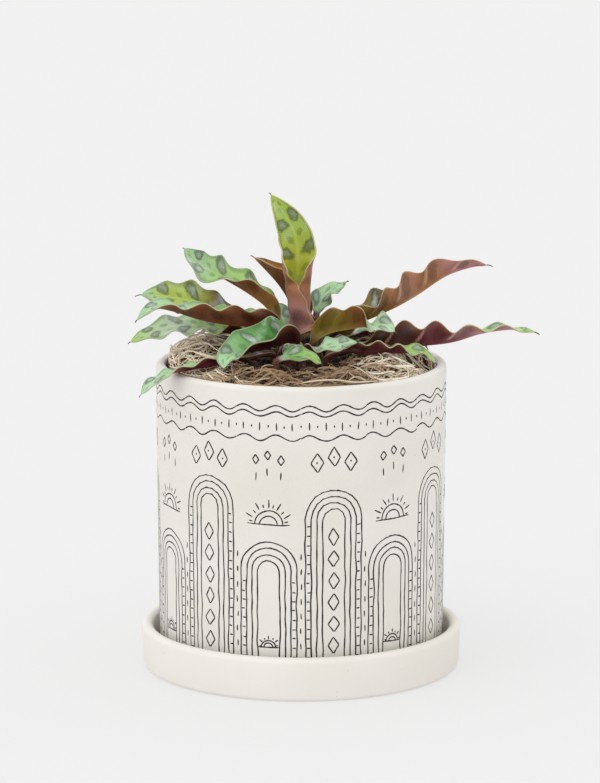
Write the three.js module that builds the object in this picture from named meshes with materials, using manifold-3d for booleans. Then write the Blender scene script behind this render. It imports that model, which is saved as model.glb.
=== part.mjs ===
// A potted rattlesnake plant: a glazed stoneware planter on its saucer, filled with soil,
// dressed with dried moss, and holding twenty-two wavy leaves on short stems.
// Units are millimetres, +Z is up, and the origin is the centre of the saucer's underside.
// The front, where the planter's decoration is, faces -Y.

import * as THREE from 'three';
import { mergeVertices } from 'three/addons/utils/BufferGeometryUtils.js';
import Module from 'manifold-3d';

const wasm = await Module();
wasm.setup();

// Driving dimensions
const GAP = 0.3; // clearance left between two pieces that touch
const ROUND_STEPS = 48; // sides of the round pieces

const POT_HEIGHT = 129.2;
const POT_TOP_RADIUS = 63.5;
const POT_FOOT_RADIUS = 62.5;
const POT_WALL = 4.5;
const POT_FLOOR = 4;
const FOOT_CHAMFER = 1.5;
const DRAIN_RADIUS = 5;

const SAUCER_HEIGHT = 19.3;
const SAUCER_RADIUS = 70.4;
const SAUCER_FLOOR = 6;
const SAUCER_WALL = 5;

const SOIL_DEPTH = 112; // from the planter's floor to the top of the soil
const MOSS_CENTRE_Z = 137.5; // top of the moss in the middle
const MOSS_EDGE_DROP = 4.5; // how far the moss falls from its middle to the wall
const MOSS_SWELLINGS = [ // heaps, and where height is below 0 a hollow
  { at: [-44, 4], height: 7, spread: 11 },
  { at: [36, -2], height: 6, spread: 10 },
  { at: [56, -4], height: -12, spread: 9 },
  { at: [2, -16], height: -6, spread: 14 },
];
const MOSS_LUMPS = 1.4; // height of the small lumps all over
const MOSS_RINGS = 5;
const MOSS_SIDES = 32;
const MOSS_LOOPS = 10;
const MOSS_LOOP_SPAN = 13;

const STEM_RADIUS = 1.5;
const STEM_FOOT_Z = 113; // a stem stands straight in its hole from here
const STEM_EXIT_Z = 138.5; // and starts to lean here
const BLADE_THICKNESS = 0.8;
const ROLL_SKEW = 0.08; // how much tighter a rolled leaf's right half is than its left
const RUFFLE = 0.12; // how much a leaf's waves widen and narrow its blade
const WAVE_SLANT = 2.6; // radians that a wave lags at the midrib, as the side veins slant
const HOLE_SIDES = 6;
const STEM_CLEARANCE = 0.6; // room around a stem in its hole
const BLADE_CLEARANCE = 0.5; // room around a blade where it lies on the moss

// Heights worked out from them
const POT_BASE_Z = SAUCER_FLOOR + GAP;
const POT_RIM_Z = POT_BASE_Z + POT_HEIGHT;
const POT_INSIDE_Z = POT_BASE_Z + POT_FLOOR;
const SOIL_TOP_Z = POT_INSIDE_Z + GAP + SOIL_DEPTH;

const material = (color, roughness) =>
  new THREE.MeshStandardMaterial({ color, roughness, metalness: 0 });

const ceramicGlaze = material(0xe9e4da, 0.42);
const saucerGlaze = material(0xe8e2d9, 0.42);
const pottingSoil = material(0x2b211a, 0.95);
const driedMoss = material(0xa98e6c, 0.9);
const leafGreen = material(0x6f9a52, 0.45);

// Leaves, one entry each. root is where the stem stands, and path is the midrib from there
// to the tip, chosen by hand. width is the greatest half width. face lists the direction
// that the upper side looks in, from the blade's base to its tip, as [azimuth, elevation]
// in degrees: azimuth 0 is the front, 90 the right and 180 the back. fold is how far each
// half rises from the midrib, and curl how far it goes on rolling up, both in degrees.
// wave is the height of the waved margin, waves how many there are, shift their phase, and
// ruffle how much they widen and narrow the blade. base is the share that is bare stem, and
// full how broad the blade is near its base.
const LEAVES = {
  leaf_upright_rolled: {
    root: [-4.2, 1], width: 17, base: 0.03, across: 12,
    path: [[-4.4, 2, 145], [-3.8, 4.8, 158], [-2.2, 6.6, 170], [-1.4, 5.5, 180], [-3.8, 2.5, 194],
      [-13, -3, 209]],
    face: [[90, 4], [90, 2], [39, 4], [14, 0], [3, 0], [8, 3], [0, 8], [-5, 14], [-10, 20]],
    fold: [10, 5, 0, 0, 3, 8, 12, 18, 25], curl: [60, 128, 190, 180, 138, 92, 62, 42, 20],
    wave: 0.3, waves: 4, shift: 1, ruffle: 0, full: 0.66,
  },
  leaf_folded_back: {
    root: [-3, 11.5], width: 9, base: 0.15,
    path: [[-2, 12.5, 146], [-3, 14.5, 156], [-9, 15.5, 166.5], [-20.5, 15, 178.6]],
    face: [[150, 50], [85, 44], [66, 40]],
    fold: [60, 62, 58],
    wave: 0.8, waves: 3,
  },
  leaf_high_left: {
    root: [-9, 8], width: 9.4, base: 0.15,
    path: [[-8.5, 8, 147.5], [-13, 8.5, 156.5], [-20, 10, 162.5], [-31, 11, 169], [-42, 9, 175],
      [-51, 6, 184]],
    face: [[180, 70], [180, 80], [0, 84], [0, 48], [0, 32]],
    fold: [60, 52, 32, 12, 8],
    wave: 1.8, waves: 4.5, shift: 0.5, full: 1.12,
  },
  leaf_long_left: {
    root: [-10, 11], width: 8.9, base: 0.38,
    path: [[-7, 12, 144], [-17, 15, 149], [-32, 18, 153.5], [-47, 17, 158.5], [-60, 14, 161.5],
      [-70, 10, 163]],
    face: [[0, 75], [0, 62], [0, 50], [0, 42], [0, 38]],
    fold: [35, 22, 15, 10],
    wave: 1.7, waves: 4, full: 1,
  },
  leaf_middle_left: {
    root: [-9, -1], width: 8.2, base: 0.12,
    path: [[-6, -3, 147], [-14, -6, 153], [-27, -10, 153.5], [-42, -12, 156], [-56, -12, 160],
      [-65, -13, 161], [-71, -14, 156]],
    face: [[180, 75], [180, 76], [180, 78], [180, 82], [180, 88], [0, 74], [0, 55]],
    fold: [58, 56, 50, 32, 8],
    wave: 2, waves: 5,
  },
  leaf_low_left: {
    root: [-14, 3], width: 7.8, base: 0.15,
    path: [[-17, 0, 146], [-31, -2.5, 149], [-46, -4.5, 152], [-61, -8, 150.8], [-74, -12, 146]],
    face: [[180, 80], [0, 65], [0, 50]],
    fold: [34, 11, 5],
    wave: 1.9, waves: 4.5,
  },
  leaf_front_left: {
    root: [0.5, -9], width: 12, base: 0.12,
    path: [[-1, -11, 144.5], [-7, -15.5, 146.2], [-16, -22, 145.4], [-25, -28, 144.4],
      [-32, -33.5, 143], [-33, -37.5, 139]],
    face: [[0, 76], [0, 74], [-10, 70], [-20, 42]],
    fold: [60, 58, 34, 10],
    wave: 2, waves: 2.4, shift: 2.6, full: 0.75,
  },
  leaf_over_rim_left: {
    root: [-12, -8], width: 5.2, base: 0.2,
    path: [[-14, -12, 141], [-24, -18, 140], [-38, -27, 139], [-50, -34, 137.8], [-58, -38, 136.5],
      [-64.5, -41, 133], [-68.5, -42, 128.5]],
    face: [[180, 62], [180, 62], [180, 64], [180, 68], [180, 74], [190, 80], [270, 82], [330, 35],
      [350, 8]],
    fold: [30, 30, 22, 5, 5],
    wave: 1.1, waves: 4.5, full: 1.25,
  },
  leaf_front_small: {
    root: [-1, -14], width: 5.5, base: 0.15,
    path: [[3, -18, 143.5], [13, -23, 146], [24, -28, 148.5]],
    face: [[180, 60], [0, 60], [0, 50]],
    fold: [12],
    wave: 1, waves: 2.5,
  },
  leaf_front_arched: {
    root: [-11, -32], width: 5.5, base: 0.2,
    path: [[-10.7, -32.3, 141], [-7.5, -33, 142.7], [-1.5, -32.6, 143.4], [4, -31.5, 142.3],
      [8.5, -30, 139.8]],
    face: [[0, 60], [0, 68], [0, 55]],
    fold: [18],
    wave: 0.6, waves: 2,
  },
  leaf_back_right_small: {
    root: [5, 13], width: 5.4, base: 0.42,
    path: [[6.2, 16.5, 150], [8, 19.5, 157], [12.6, 22.5, 162.5], [20, 24, 166.5]],
    face: [[0, 40], [0, 70], [0, 70]],
    fold: [20], curl: [0, 0, -90],
    wave: 1, waves: 2.5,
  },
  leaf_high_right: {
    root: [8, 7], width: 10.3, base: 0.14,
    path: [[10, 8, 144.5], [19, 10, 149], [35, 12, 155], [49, 13, 162], [63, 13, 171],
      [74, 12, 175], [81, 11, 176]],
    face: [[0, 82], [0, 84], [180, 70], [180, 60], [180, 55]],
    fold: [54, 52, 48, 44, 30],
    wave: 2.6, waves: 5.2, shift: 1.5, ruffle: 0.22,
  },
  leaf_middle_right: {
    root: [5.5, -1], width: 10.5, base: 0.1,
    path: [[5.3, -2, 144], [11, -2.2, 148.5], [21, -2, 150.5], [30, -3.5, 152], [36, -6.5, 152],
      [40.5, -9.5, 150]],
    face: [[180, 55], [180, 50], [180, 45], [180, 55], [0, 60], [0, 45]],
    fold: [40, 25, 10],
    wave: 1.6, waves: 3.5, shift: 0.6,
  },
  leaf_long_right: {
    root: [12, 0], width: 9.8, base: 0.15,
    path: [[19, 0, 143], [34, -1, 142], [48, -2, 143], [65, -4, 145], [78, -6, 149], [91, -8, 151],
      [101, -10, 150]],
    face: [[180, 65], [180, 60], [180, 68], [180, 88], [0, 72]],
    fold: [55, 45, 20, 8],
    wave: 2.6, waves: 5.5, shift: 3.6, ruffle: 0.22, full: 0.68,
  },
  leaf_low_right: {
    root: [11, -9], width: 5.8, base: 0.15,
    path: [[19, -11, 142], [28, -13, 141.5], [43, -14, 142], [53, -15, 141.5], [58, -17, 137.8]],
    face: [[180, 60], [180, 60], [180, 75], [0, 70], [60, 60]],
    fold: [35, 30, 25, 10],
    wave: 1.5, waves: 4.5, shift: 2.6, ruffle: 0.15,
  },
  leaf_back_small: {
    root: [-5, 14], width: 5.8, base: 0.3,
    path: [[-7, 19, 148], [-9.3, 23, 152], [-12.5, 27, 156.3]],
    face: [[0, 40]],
    fold: [15],
    wave: 1, waves: 2.5,
  },
  leaf_back_left_small: {
    root: [-12, 16], width: 5, base: 0.3,
    path: [[-15, 23, 147], [-22, 29, 149], [-27, 35, 148.5]],
    face: [[0, 60]],
    fold: [15],
    wave: 1, waves: 2.5,
  },
  leaf_front_tiny: {
    root: [-5.5, -21], width: 3.5, base: 0.3,
    path: [[-5, -23, 143.5], [-7.5, -25.5, 147]],
    face: [[0, 15]],
    fold: [10],
    wave: 0.6, waves: 2,
  },
  leaf_back: {
    root: [-3, 21], width: 8, base: 0.2,
    path: [[-3, 27, 144.5], [-4, 40, 147.5], [-5, 54, 147.5], [-5, 68, 145], [-4, 81, 138]],
    face: [[0, 60], [0, 80], [0, 80]],
    fold: [35, 15, 10],
    wave: 1.8, waves: 4,
  },
  leaf_back_right: {
    root: [12, 15], width: 7, base: 0.2,
    path: [[19, 22, 142.5], [31, 33, 142.5], [42, 44, 140.5], [51, 53, 137.5], [57, 61, 130]],
    face: [[0, 85]],
    fold: [30, 15, 10],
    wave: 1.5, waves: 4,
  },
  leaf_back_left: {
    root: [-16, 11], width: 7.5, base: 0.2,
    path: [[-23, 20, 143], [-31, 29, 143], [-37, 37, 142.5], [-41.5, 43.5, 141.5],
      [-44, 48, 139.5]],
    face: [[0, 85]],
    fold: [30, 15, 10],
    wave: 1.6, waves: 4,
  },
  leaf_back_low: {
    root: [5, 18], width: 7, base: 0.2,
    path: [[10, 27, 142.5], [17, 41, 142], [24, 53, 140.5], [29, 62, 137], [33, 70, 131]],
    face: [[0, 70], [0, 55], [0, 85]],
    fold: [30, 15, 10],
    wave: 1.5, waves: 4,
  },
};

// Geometry helpers

// Merges the corners that triangles share and leaves out the triangles without area.
function weld(geometry) {
  const bare = geometry.clone();
  bare.deleteAttribute('normal');
  bare.deleteAttribute('uv');
  const merged = mergeVertices(bare, 1e-4);
  const corners = merged.index.array;
  const kept = [];
  for (let i = 0; i < corners.length; i += 3) {
    const [a, b, c] = corners.subarray(i, i + 3);
    if (a !== b && b !== c && c !== a) kept.push(a, b, c);
  }
  merged.setIndex(kept);
  return merged;
}

function toSolid(geometry) {
  const closed = weld(geometry);
  return new wasm.Manifold(new wasm.Mesh({
    numProp: 3,
    vertProperties: Float32Array.from(closed.attributes.position.array),
    triVerts: Uint32Array.from(closed.index.array),
  }));
}

function toGeometry(solid) {
  const mesh = solid.getMesh();
  const geometry = new THREE.BufferGeometry();
  geometry.setAttribute('position', new THREE.BufferAttribute(mesh.vertProperties, 3));
  geometry.setIndex(new THREE.BufferAttribute(mesh.triVerts, 1));
  geometry.computeVertexNormals();
  return geometry;
}

// Turns a profile of [radius, height] points about the Z axis.
function turned(profile, steps = ROUND_STEPS) {
  const points = profile.map(([radius, height]) => new THREE.Vector2(radius, height));
  return new THREE.LatheGeometry(points, steps).rotateX(Math.PI / 2);
}

// A rounded lip from the outer wall over to the inner wall, as [radius, height] points.
function lip(outerRadius, innerRadius, topZ, steps = 4) {
  const middle = (outerRadius + innerRadius) / 2;
  const half = (outerRadius - innerRadius) / 2;
  return Array.from({ length: steps + 1 }, (_, i) => {
    const angle = (Math.PI * i) / steps;
    return [middle + half * Math.cos(angle), topZ - half + half * Math.sin(angle)];
  });
}

// Round pieces

function planter() {
  const insideFoot = POT_FOOT_RADIUS - POT_WALL;
  const profile = [
    [DRAIN_RADIUS, POT_BASE_Z],
    [POT_FOOT_RADIUS - FOOT_CHAMFER, POT_BASE_Z],
    [POT_FOOT_RADIUS, POT_BASE_Z + FOOT_CHAMFER],
    ...lip(POT_TOP_RADIUS, POT_TOP_RADIUS - POT_WALL, POT_RIM_Z),
    [insideFoot, POT_INSIDE_Z],
    [DRAIN_RADIUS, POT_INSIDE_Z],
    [DRAIN_RADIUS, POT_BASE_Z],
  ];
  return toGeometry(toSolid(turned(profile)));
}

function saucer() {
  const profile = [
    [0, 0],
    [SAUCER_RADIUS - 3, 0],
    [SAUCER_RADIUS - 0.6, 2],
    ...lip(SAUCER_RADIUS, SAUCER_RADIUS - SAUCER_WALL, SAUCER_HEIGHT),
    [SAUCER_RADIUS - SAUCER_WALL - 0.5, SAUCER_FLOOR],
    [0, SAUCER_FLOOR],
  ];
  return toGeometry(toSolid(turned(profile)));
}

// The planter's inner wall at a height, which tapers a little towards the foot.
function innerRadius(z) {
  const rise = (z - POT_INSIDE_Z) / (POT_RIM_Z - POT_WALL / 2 - POT_INSIDE_Z);
  return POT_FOOT_RADIUS - POT_WALL + rise * (POT_TOP_RADIUS - POT_FOOT_RADIUS);
}

// Leaves

// Half the blade's width as a share of its greatest, from 0 at the base to 1 at the tip.
// A lower full makes the blade broader near its base.
const bladeOutline = (s, full = 0.85) =>
  (s <= 0 || s >= 1 ? 0 : Math.sin(Math.PI * s ** full) ** 0.75);

// The value at s of a list of numbers or of [azimuth, elevation] pairs spread over 0 to 1.
function keyed(keys, s) {
  const last = keys.length - 1;
  if (last === 0) return keys[0];
  const place = THREE.MathUtils.clamp(s, 0, 1) * last;
  const index = Math.min(Math.floor(place), last - 1);
  const blend = THREE.MathUtils.smoothstep(place - index, 0, 1);
  const mix = (a, b) => a + (b - a) * blend;
  const [from, to] = [keys[index], keys[index + 1]];
  return Array.isArray(from) ? from.map((value, i) => mix(value, to[i])) : mix(from, to);
}

function faceDirection([azimuth, elevation]) {
  const a = THREE.MathUtils.degToRad(azimuth);
  const e = THREE.MathUtils.degToRad(elevation);
  return new THREE.Vector3(Math.sin(a) * Math.cos(e), -Math.cos(a) * Math.cos(e), Math.sin(e));
}

// The upper and lower points of one cross-section of a leaf, from its left margin to its
// right. middle is the midrib's place, along its direction, and s how far up the blade it
// is, below 0 in the stem. spare widens and thickens the section for a clearance.
function leafSection(leaf, middle, along, s, spare) {
  const up = faceDirection(keyed(leaf.face, s));
  up.addScaledVector(along, -up.dot(along)).normalize();
  const right = new THREE.Vector3().crossVectors(along, up);
  const share = bladeOutline(s, leaf.full);
  const onBlade = Math.max(s, 0);
  const grown = Math.min(1, onBlade / 0.12);
  const stemShare = 1 - Math.min(1, onBlade / 0.1);
  const narrowest = s < 0.9 ? STEM_RADIUS * (1 - 0.55 * onBlade) : 0.5;
  const halfWidth = Math.max(leaf.width * share, narrowest) + spare;
  const fold = THREE.MathUtils.degToRad(keyed(leaf.fold, s)) * grown;
  const curl = THREE.MathUtils.degToRad(keyed(leaf.curl ?? [0], s)) * grown;
  const waved = share * Math.min(1, onBlade * 6);
  const waveHeight = leaf.wave * waved;
  const ruffle = (leaf.ruffle ?? RUFFLE) * waved;
  const ribHeight = s > 0 ? STEM_RADIUS * 0.9 * (1 - s) ** 0.8 : 0;
  const halfThick = BLADE_THICKNESS / 2 + spare;
  const stemRadius = STEM_RADIUS + spare;
  const across = leaf.across ?? 4;
  const tightest = halfWidth / BLADE_THICKNESS;
  const section = { upper: [], lower: [] };
  for (let i = 0; i <= across; i += 1) {
    const v = (2 * i) / across - 1;
    const side = v < 0 ? -1 : 1;
    const out = Math.abs(v);
    const roll = THREE.MathUtils.clamp(curl * (1 + ROLL_SKEW * side), -tightest, tightest);
    const turn = fold + roll * out;
    const phase = 2 * Math.PI * leaf.waves * s + (leaf.shift ?? 0) + (side > 0 ? 0 : 1.6);
    const spread = halfWidth * (1 + ruffle * Math.cos(phase));
    let x = spread * out * Math.cos(fold);
    let rise = spread * out * Math.sin(fold);
    if (Math.abs(roll) > 1e-4) {
      x = (spread / roll) * (Math.sin(turn) - Math.sin(fold));
      rise = (spread / roll) * (Math.cos(fold) - Math.cos(turn));
    }
    const room = Math.cos(turn) > 0 ? (0.8 * x) / halfThick : 1;
    const lean = THREE.MathUtils.clamp(Math.sin(turn), -room, room);
    const normal = up.clone();
    if (out > 0) normal.multiplyScalar(Math.cos(turn)).addScaledVector(right, -side * lean);
    const place = middle.clone().addScaledVector(right, side * x).addScaledVector(up, rise);
    const wave = Math.sin(phase + WAVE_SLANT * (1 - out));
    place.addScaledVector(normal, waveHeight * out ** 1.5 * wave);
    const rib = ribHeight * Math.max(0, 1 - (out * halfWidth) / 1.6);
    const stemX = stemRadius * Math.sin((Math.PI * v) / 2);
    const stemZ = Math.max(stemRadius * Math.cos((Math.PI * v) / 2), halfThick);
    const stemPoint = (z) => middle.clone().addScaledVector(right, stemX).addScaledVector(up, z);
    const bladePoint = (depth) => place.clone().addScaledVector(normal, depth);
    section.upper.push(bladePoint(halfThick).lerp(stemPoint(stemZ), stemShare));
    section.lower.push(bladePoint(-halfThick - rib).lerp(stemPoint(-stemZ), stemShare));
  }
  return section;
}

// Closes a row of cross-sections into one body. The upper and the lower side are split into
// triangles alike, so that they never cross where the blade is waved.
function skin(sections) {
  const count = sections[0].upper.length;
  const positions = sections.flatMap(({ upper, lower }) => [...upper, ...lower]).flatMap((p) => p.toArray());
  const upperAt = (i, j) => i * 2 * count + j;
  const lowerAt = (i, j) => upperAt(i, j) + count;
  const index = [];
  const quad = (a, b, c, d) => index.push(a, b, c, a, c, d);
  const flipped = (a, b, c, d) => index.push(a, c, b, a, d, c);
  const last = sections.length - 1;
  for (let i = 0; i < last; i += 1) {
    for (let j = 0; j < count - 1; j += 1) {
      quad(upperAt(i, j), upperAt(i, j + 1), upperAt(i + 1, j + 1), upperAt(i + 1, j));
      flipped(lowerAt(i, j), lowerAt(i, j + 1), lowerAt(i + 1, j + 1), lowerAt(i + 1, j));
    }
    quad(upperAt(i, 0), upperAt(i + 1, 0), lowerAt(i + 1, 0), lowerAt(i, 0));
    const edge = count - 1;
    flipped(upperAt(i, edge), upperAt(i + 1, edge), lowerAt(i + 1, edge), lowerAt(i, edge));
  }
  for (let j = 0; j < count - 1; j += 1) {
    flipped(upperAt(0, j), upperAt(0, j + 1), lowerAt(0, j + 1), lowerAt(0, j));
    quad(upperAt(last, j), upperAt(last, j + 1), lowerAt(last, j + 1), lowerAt(last, j));
  }
  const geometry = new THREE.BufferGeometry();
  geometry.setAttribute('position', new THREE.Float32BufferAttribute(positions, 3));
  geometry.setIndex(index);
  geometry.computeVertexNormals();
  return geometry;
}

// A leaf with its stem: straight in its hole, then along the midrib's curve to the tip.
function leafBody(leaf, spare = 0) {
  const [rootX, rootY] = leaf.root;
  const straightUp = new THREE.Vector3(0, 0, 1);
  const start = new THREE.Vector3(rootX, rootY, STEM_EXIT_Z + 0.5);
  const points = [start, ...leaf.path.map((place) => new THREE.Vector3(...place))];
  const midrib = new THREE.CatmullRomCurve3(points, false, 'catmullrom', 0.5);
  const foot = new THREE.Vector3(rootX, rootY, STEM_FOOT_Z - spare);
  const exit = new THREE.Vector3(rootX, rootY, STEM_EXIT_Z);
  const sections = [foot, exit].map((place) => leafSection(leaf, place, straightUp, -1, spare));
  const stemSteps = 2;
  const bladeSteps = Math.ceil(leaf.waves * 3.5) + 2;
  for (let i = 1; i <= stemSteps + bladeSteps; i += 1) {
    const s = Math.max(0, i - stemSteps) / bladeSteps;
    const u = i <= stemSteps ? (leaf.base * i) / stemSteps : leaf.base + (1 - leaf.base) * s;
    const onStem = i < stemSteps ? -1 : s;
    const along = midrib.getTangentAt(u);
    const middle = midrib.getPointAt(u);
    if (s === 1) middle.addScaledVector(along, spare);
    sections.push(leafSection(leaf, middle, along, onStem, spare));
  }
  return skin(sections);
}

// Soil and moss

// Plain round holes that the stems stand in, each a little wider than its stem.
function stemHoles(topZ) {
  const radius = (STEM_RADIUS + STEM_CLEARANCE) / Math.cos(Math.PI / HOLE_SIDES);
  return Object.values(LEAVES).map(({ root: [x, y] }) => {
    const floorZ = STEM_FOOT_Z - GAP;
    const profile = [[0, floorZ], [radius, floorZ], [radius, topZ], [0, topZ]];
    return toSolid(turned(profile, HOLE_SIDES).translate(x, y, 0));
  });
}

function pottingMix() {
  const floorZ = POT_INSIDE_Z + GAP;
  const profile = [
    [0, floorZ],
    [innerRadius(floorZ) - GAP, floorZ],
    [innerRadius(SOIL_TOP_Z) - GAP, SOIL_TOP_Z],
    [0, SOIL_TOP_Z],
  ];
  let soil = toSolid(turned(profile));
  for (const hole of stemHoles(SOIL_TOP_Z + 1)) soil = soil.subtract(hole);
  return toGeometry(soil);
}

// The moss's height: a low dome, heaped on both sides, sunk in the middle and at the far
// right, and lumpy all over.
function mossTop(x, y) {
  const dome = MOSS_CENTRE_Z - MOSS_EDGE_DROP * (Math.hypot(x, y) / POT_TOP_RADIUS) ** 3;
  const swell = (sum, { at: [atX, atY], height, spread }) =>
    sum + height * Math.exp(-((x - atX) ** 2 + (y - atY) ** 2) / (2 * spread ** 2));
  const lumps = MOSS_LUMPS * Math.sin(0.31 * x + 1.3) * Math.sin(0.27 * y + 0.4);
  return MOSS_SWELLINGS.reduce(swell, dome) + lumps;
}

// One curly fibre of moss that arches out of the mat, with both ends sunk into it.
function mossLoop(angle, radius, span, lift) {
  const heading = angle * 2.7;
  const at = (share, height) => {
    const x = radius * Math.cos(angle) + span * share * Math.cos(heading);
    const y = radius * Math.sin(angle) + span * share * Math.sin(heading);
    return new THREE.Vector3(x, y, mossTop(x, y) + height);
  };
  const sunk = -2.5;
  const curve = new THREE.CatmullRomCurve3([at(-0.5, sunk), at(-0.3, lift), at(0.3, lift), at(0.5, sunk)]);
  const corners = [[0.8, 0], [-0.5, 0.7], [-0.5, -0.7]].map((corner) => new THREE.Vector2(...corner));
  const section = new THREE.Shape(corners);
  return new THREE.ExtrudeGeometry(section, { steps: 6, extrudePath: curve, bevelEnabled: false });
}

function mossMat() {
  const bottomZ = SOIL_TOP_Z + GAP;
  const edge = innerRadius(bottomZ) - 2 * GAP;
  const rings = Array.from({ length: MOSS_RINGS + 1 }, (_, i) => [edge * (1 - i / MOSS_RINGS), POT_RIM_Z]);
  const relief = turned([[0, bottomZ], [edge, bottomZ], ...rings], MOSS_SIDES);
  const place = relief.attributes.position;
  for (let i = 0; i < place.count; i += 1) {
    if (place.getZ(i) > bottomZ + 1) place.setZ(i, mossTop(place.getX(i), place.getY(i)));
  }
  let mat = toSolid(relief);
  for (let i = 0; i < MOSS_LOOPS; i += 1) {
    const angle = Math.PI * (0.98 + (1.04 * i) / (MOSS_LOOPS - 1));
    const radius = 34 + 12 * Math.abs(Math.sin(3.1 * i));
    mat = mat.add(toSolid(mossLoop(angle, radius, MOSS_LOOP_SPAN, 1.6 + (i % 3))));
  }
  for (const hole of stemHoles(POT_RIM_Z + 5)) mat = mat.subtract(hole);
  for (const leaf of Object.values(LEAVES)) mat = mat.subtract(toSolid(leafBody(leaf, BLADE_CLEARANCE)));
  const pieces = mat.decompose().sort((a, b) => b.volume() - a.volume());
  return toGeometry(pieces[0]);
}

// Assembly

const plant = new THREE.Group();

function addPiece(name, geometry, look) {
  const mesh = new THREE.Mesh(geometry, look);
  mesh.name = name;
  plant.add(mesh);
}

addPiece('saucer', saucer(), saucerGlaze);
addPiece('planter', planter(), ceramicGlaze);
addPiece('soil', pottingMix(), pottingSoil);
addPiece('moss', mossMat(), driedMoss);
for (const [name, leaf] of Object.entries(LEAVES)) addPiece(name, leafBody(leaf), leafGreen);

export default plant;
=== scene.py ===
"""A potted rattlesnake plant: glazed planter and saucer, dried moss and wavy leaves.

Sizes in the classes are in millimetres. Meshes are made in metres in the frame of the
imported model: +Z is up, the origin is under the saucer, and the front faces -Y.
"""

import logging
import math
from collections.abc import Callable, Iterator
from contextlib import contextmanager
from dataclasses import dataclass, field
from enum import Enum

import bpy
import numpy as np
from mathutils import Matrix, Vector, noise
from mathutils.bvhtree import BVHTree

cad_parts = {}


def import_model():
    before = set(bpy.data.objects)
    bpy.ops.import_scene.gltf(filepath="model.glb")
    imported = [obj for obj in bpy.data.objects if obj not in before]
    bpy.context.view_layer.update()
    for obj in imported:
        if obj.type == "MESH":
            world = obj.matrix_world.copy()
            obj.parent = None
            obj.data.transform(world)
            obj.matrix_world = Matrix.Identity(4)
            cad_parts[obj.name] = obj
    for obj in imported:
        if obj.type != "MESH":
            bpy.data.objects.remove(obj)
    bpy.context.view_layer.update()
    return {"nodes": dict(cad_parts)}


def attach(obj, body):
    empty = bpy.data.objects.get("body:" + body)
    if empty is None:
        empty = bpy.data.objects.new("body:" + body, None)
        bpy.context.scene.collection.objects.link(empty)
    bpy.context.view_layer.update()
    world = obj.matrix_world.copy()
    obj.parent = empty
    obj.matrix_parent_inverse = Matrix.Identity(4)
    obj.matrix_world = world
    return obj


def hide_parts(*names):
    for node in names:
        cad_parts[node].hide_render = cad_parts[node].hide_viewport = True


Colour = tuple[float, float, float, float]
Pair = tuple[float, float]
Screen = tuple[int, int, int]
Triple = tuple[float, float, float]
Piece = bpy.types.Object
Socket = bpy.types.NodeSocket

LOG = logging.getLogger("potted_plant")
MM = 0.001
BODY = "root"

# Heights that several pieces share
POT_BASE_Z = 6.3
POT_RIM_Z = 135.5
SOIL_TOP_Z = 122.6

# The planter's lip: half its thickness, and the radius of its crest
LIP_HALF = 2.25
LIP_RADIUS = 61.25


# Colours and node maths


def paint(red: int, green: int, blue: int) -> Colour:
    """Turns a screen colour into the linear colour that a shader takes.

    Args:
        red: Screen red, 0 to 255.
        green: Screen green, 0 to 255.
        blue: Screen blue, 0 to 255.

    Returns:
        The linear red, green, blue and an alpha of 1.
    """
    shares = [part / 255 for part in (red, green, blue)]
    return (*(s / 12.92 if s <= 0.04045 else ((s + 0.055) / 1.055) ** 2.4 for s in shares), 1.0)


def operator(operation: str, reflected: bool = False) -> Callable[..., "Wire"]:
    """Makes a method of Wire that adds one Math node.

    Args:
        operation: The node's operation.
        reflected: Whether the wire is the last input and not the first.

    Returns:
        The method.
    """

    def method(wire: "Wire", *others: "float | Wire") -> "Wire":
        """Adds the node and wraps its result.

        Args:
            wire: The wire that the method is called on.
            *others: The node's other inputs.

        Returns:
            The node's result.
        """
        values = (*others, wire) if reflected else (wire, *others)
        made = wire.recipe.node("Math", {"operation": operation}, dict(enumerate(values)))
        return Wire(wire.recipe, made.outputs[0])

    return method


class Wire:
    """A number that varies over a surface; sums on it add Math nodes."""

    __add__ = operator("ADD")
    __radd__ = operator("ADD", reflected=True)
    __sub__ = operator("SUBTRACT")
    __rsub__ = operator("SUBTRACT", reflected=True)
    __mul__ = operator("MULTIPLY")
    __rmul__ = operator("MULTIPLY", reflected=True)
    __truediv__ = operator("DIVIDE")
    __abs__ = operator("ABSOLUTE")
    floor = operator("FLOOR")
    fract = operator("FRACT")
    sine = operator("SINE")
    root = operator("SQRT")

    def __init__(self, recipe: "Recipe", socket: Socket) -> None:
        """Wraps one output socket of a recipe."""
        self.recipe = recipe
        self.socket = socket

    def step(self, start: float, end: float) -> "Wire":
        """A smooth rise from 0 at start to 1 at end, or a fall where end is lower.

        Args:
            start: Where the result is 0.
            end: Where the result is 1.

        Returns:
            The share, held between 0 and 1.
        """
        sockets = {"Value": self, "From Min": min(start, end), "From Max": max(start, end)}
        made = self.recipe.node("MapRange", {"interpolation_type": "SMOOTHSTEP"}, sockets)
        rise = Wire(self.recipe, made.outputs[0])
        return rise if start < end else 1 - rise


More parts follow.
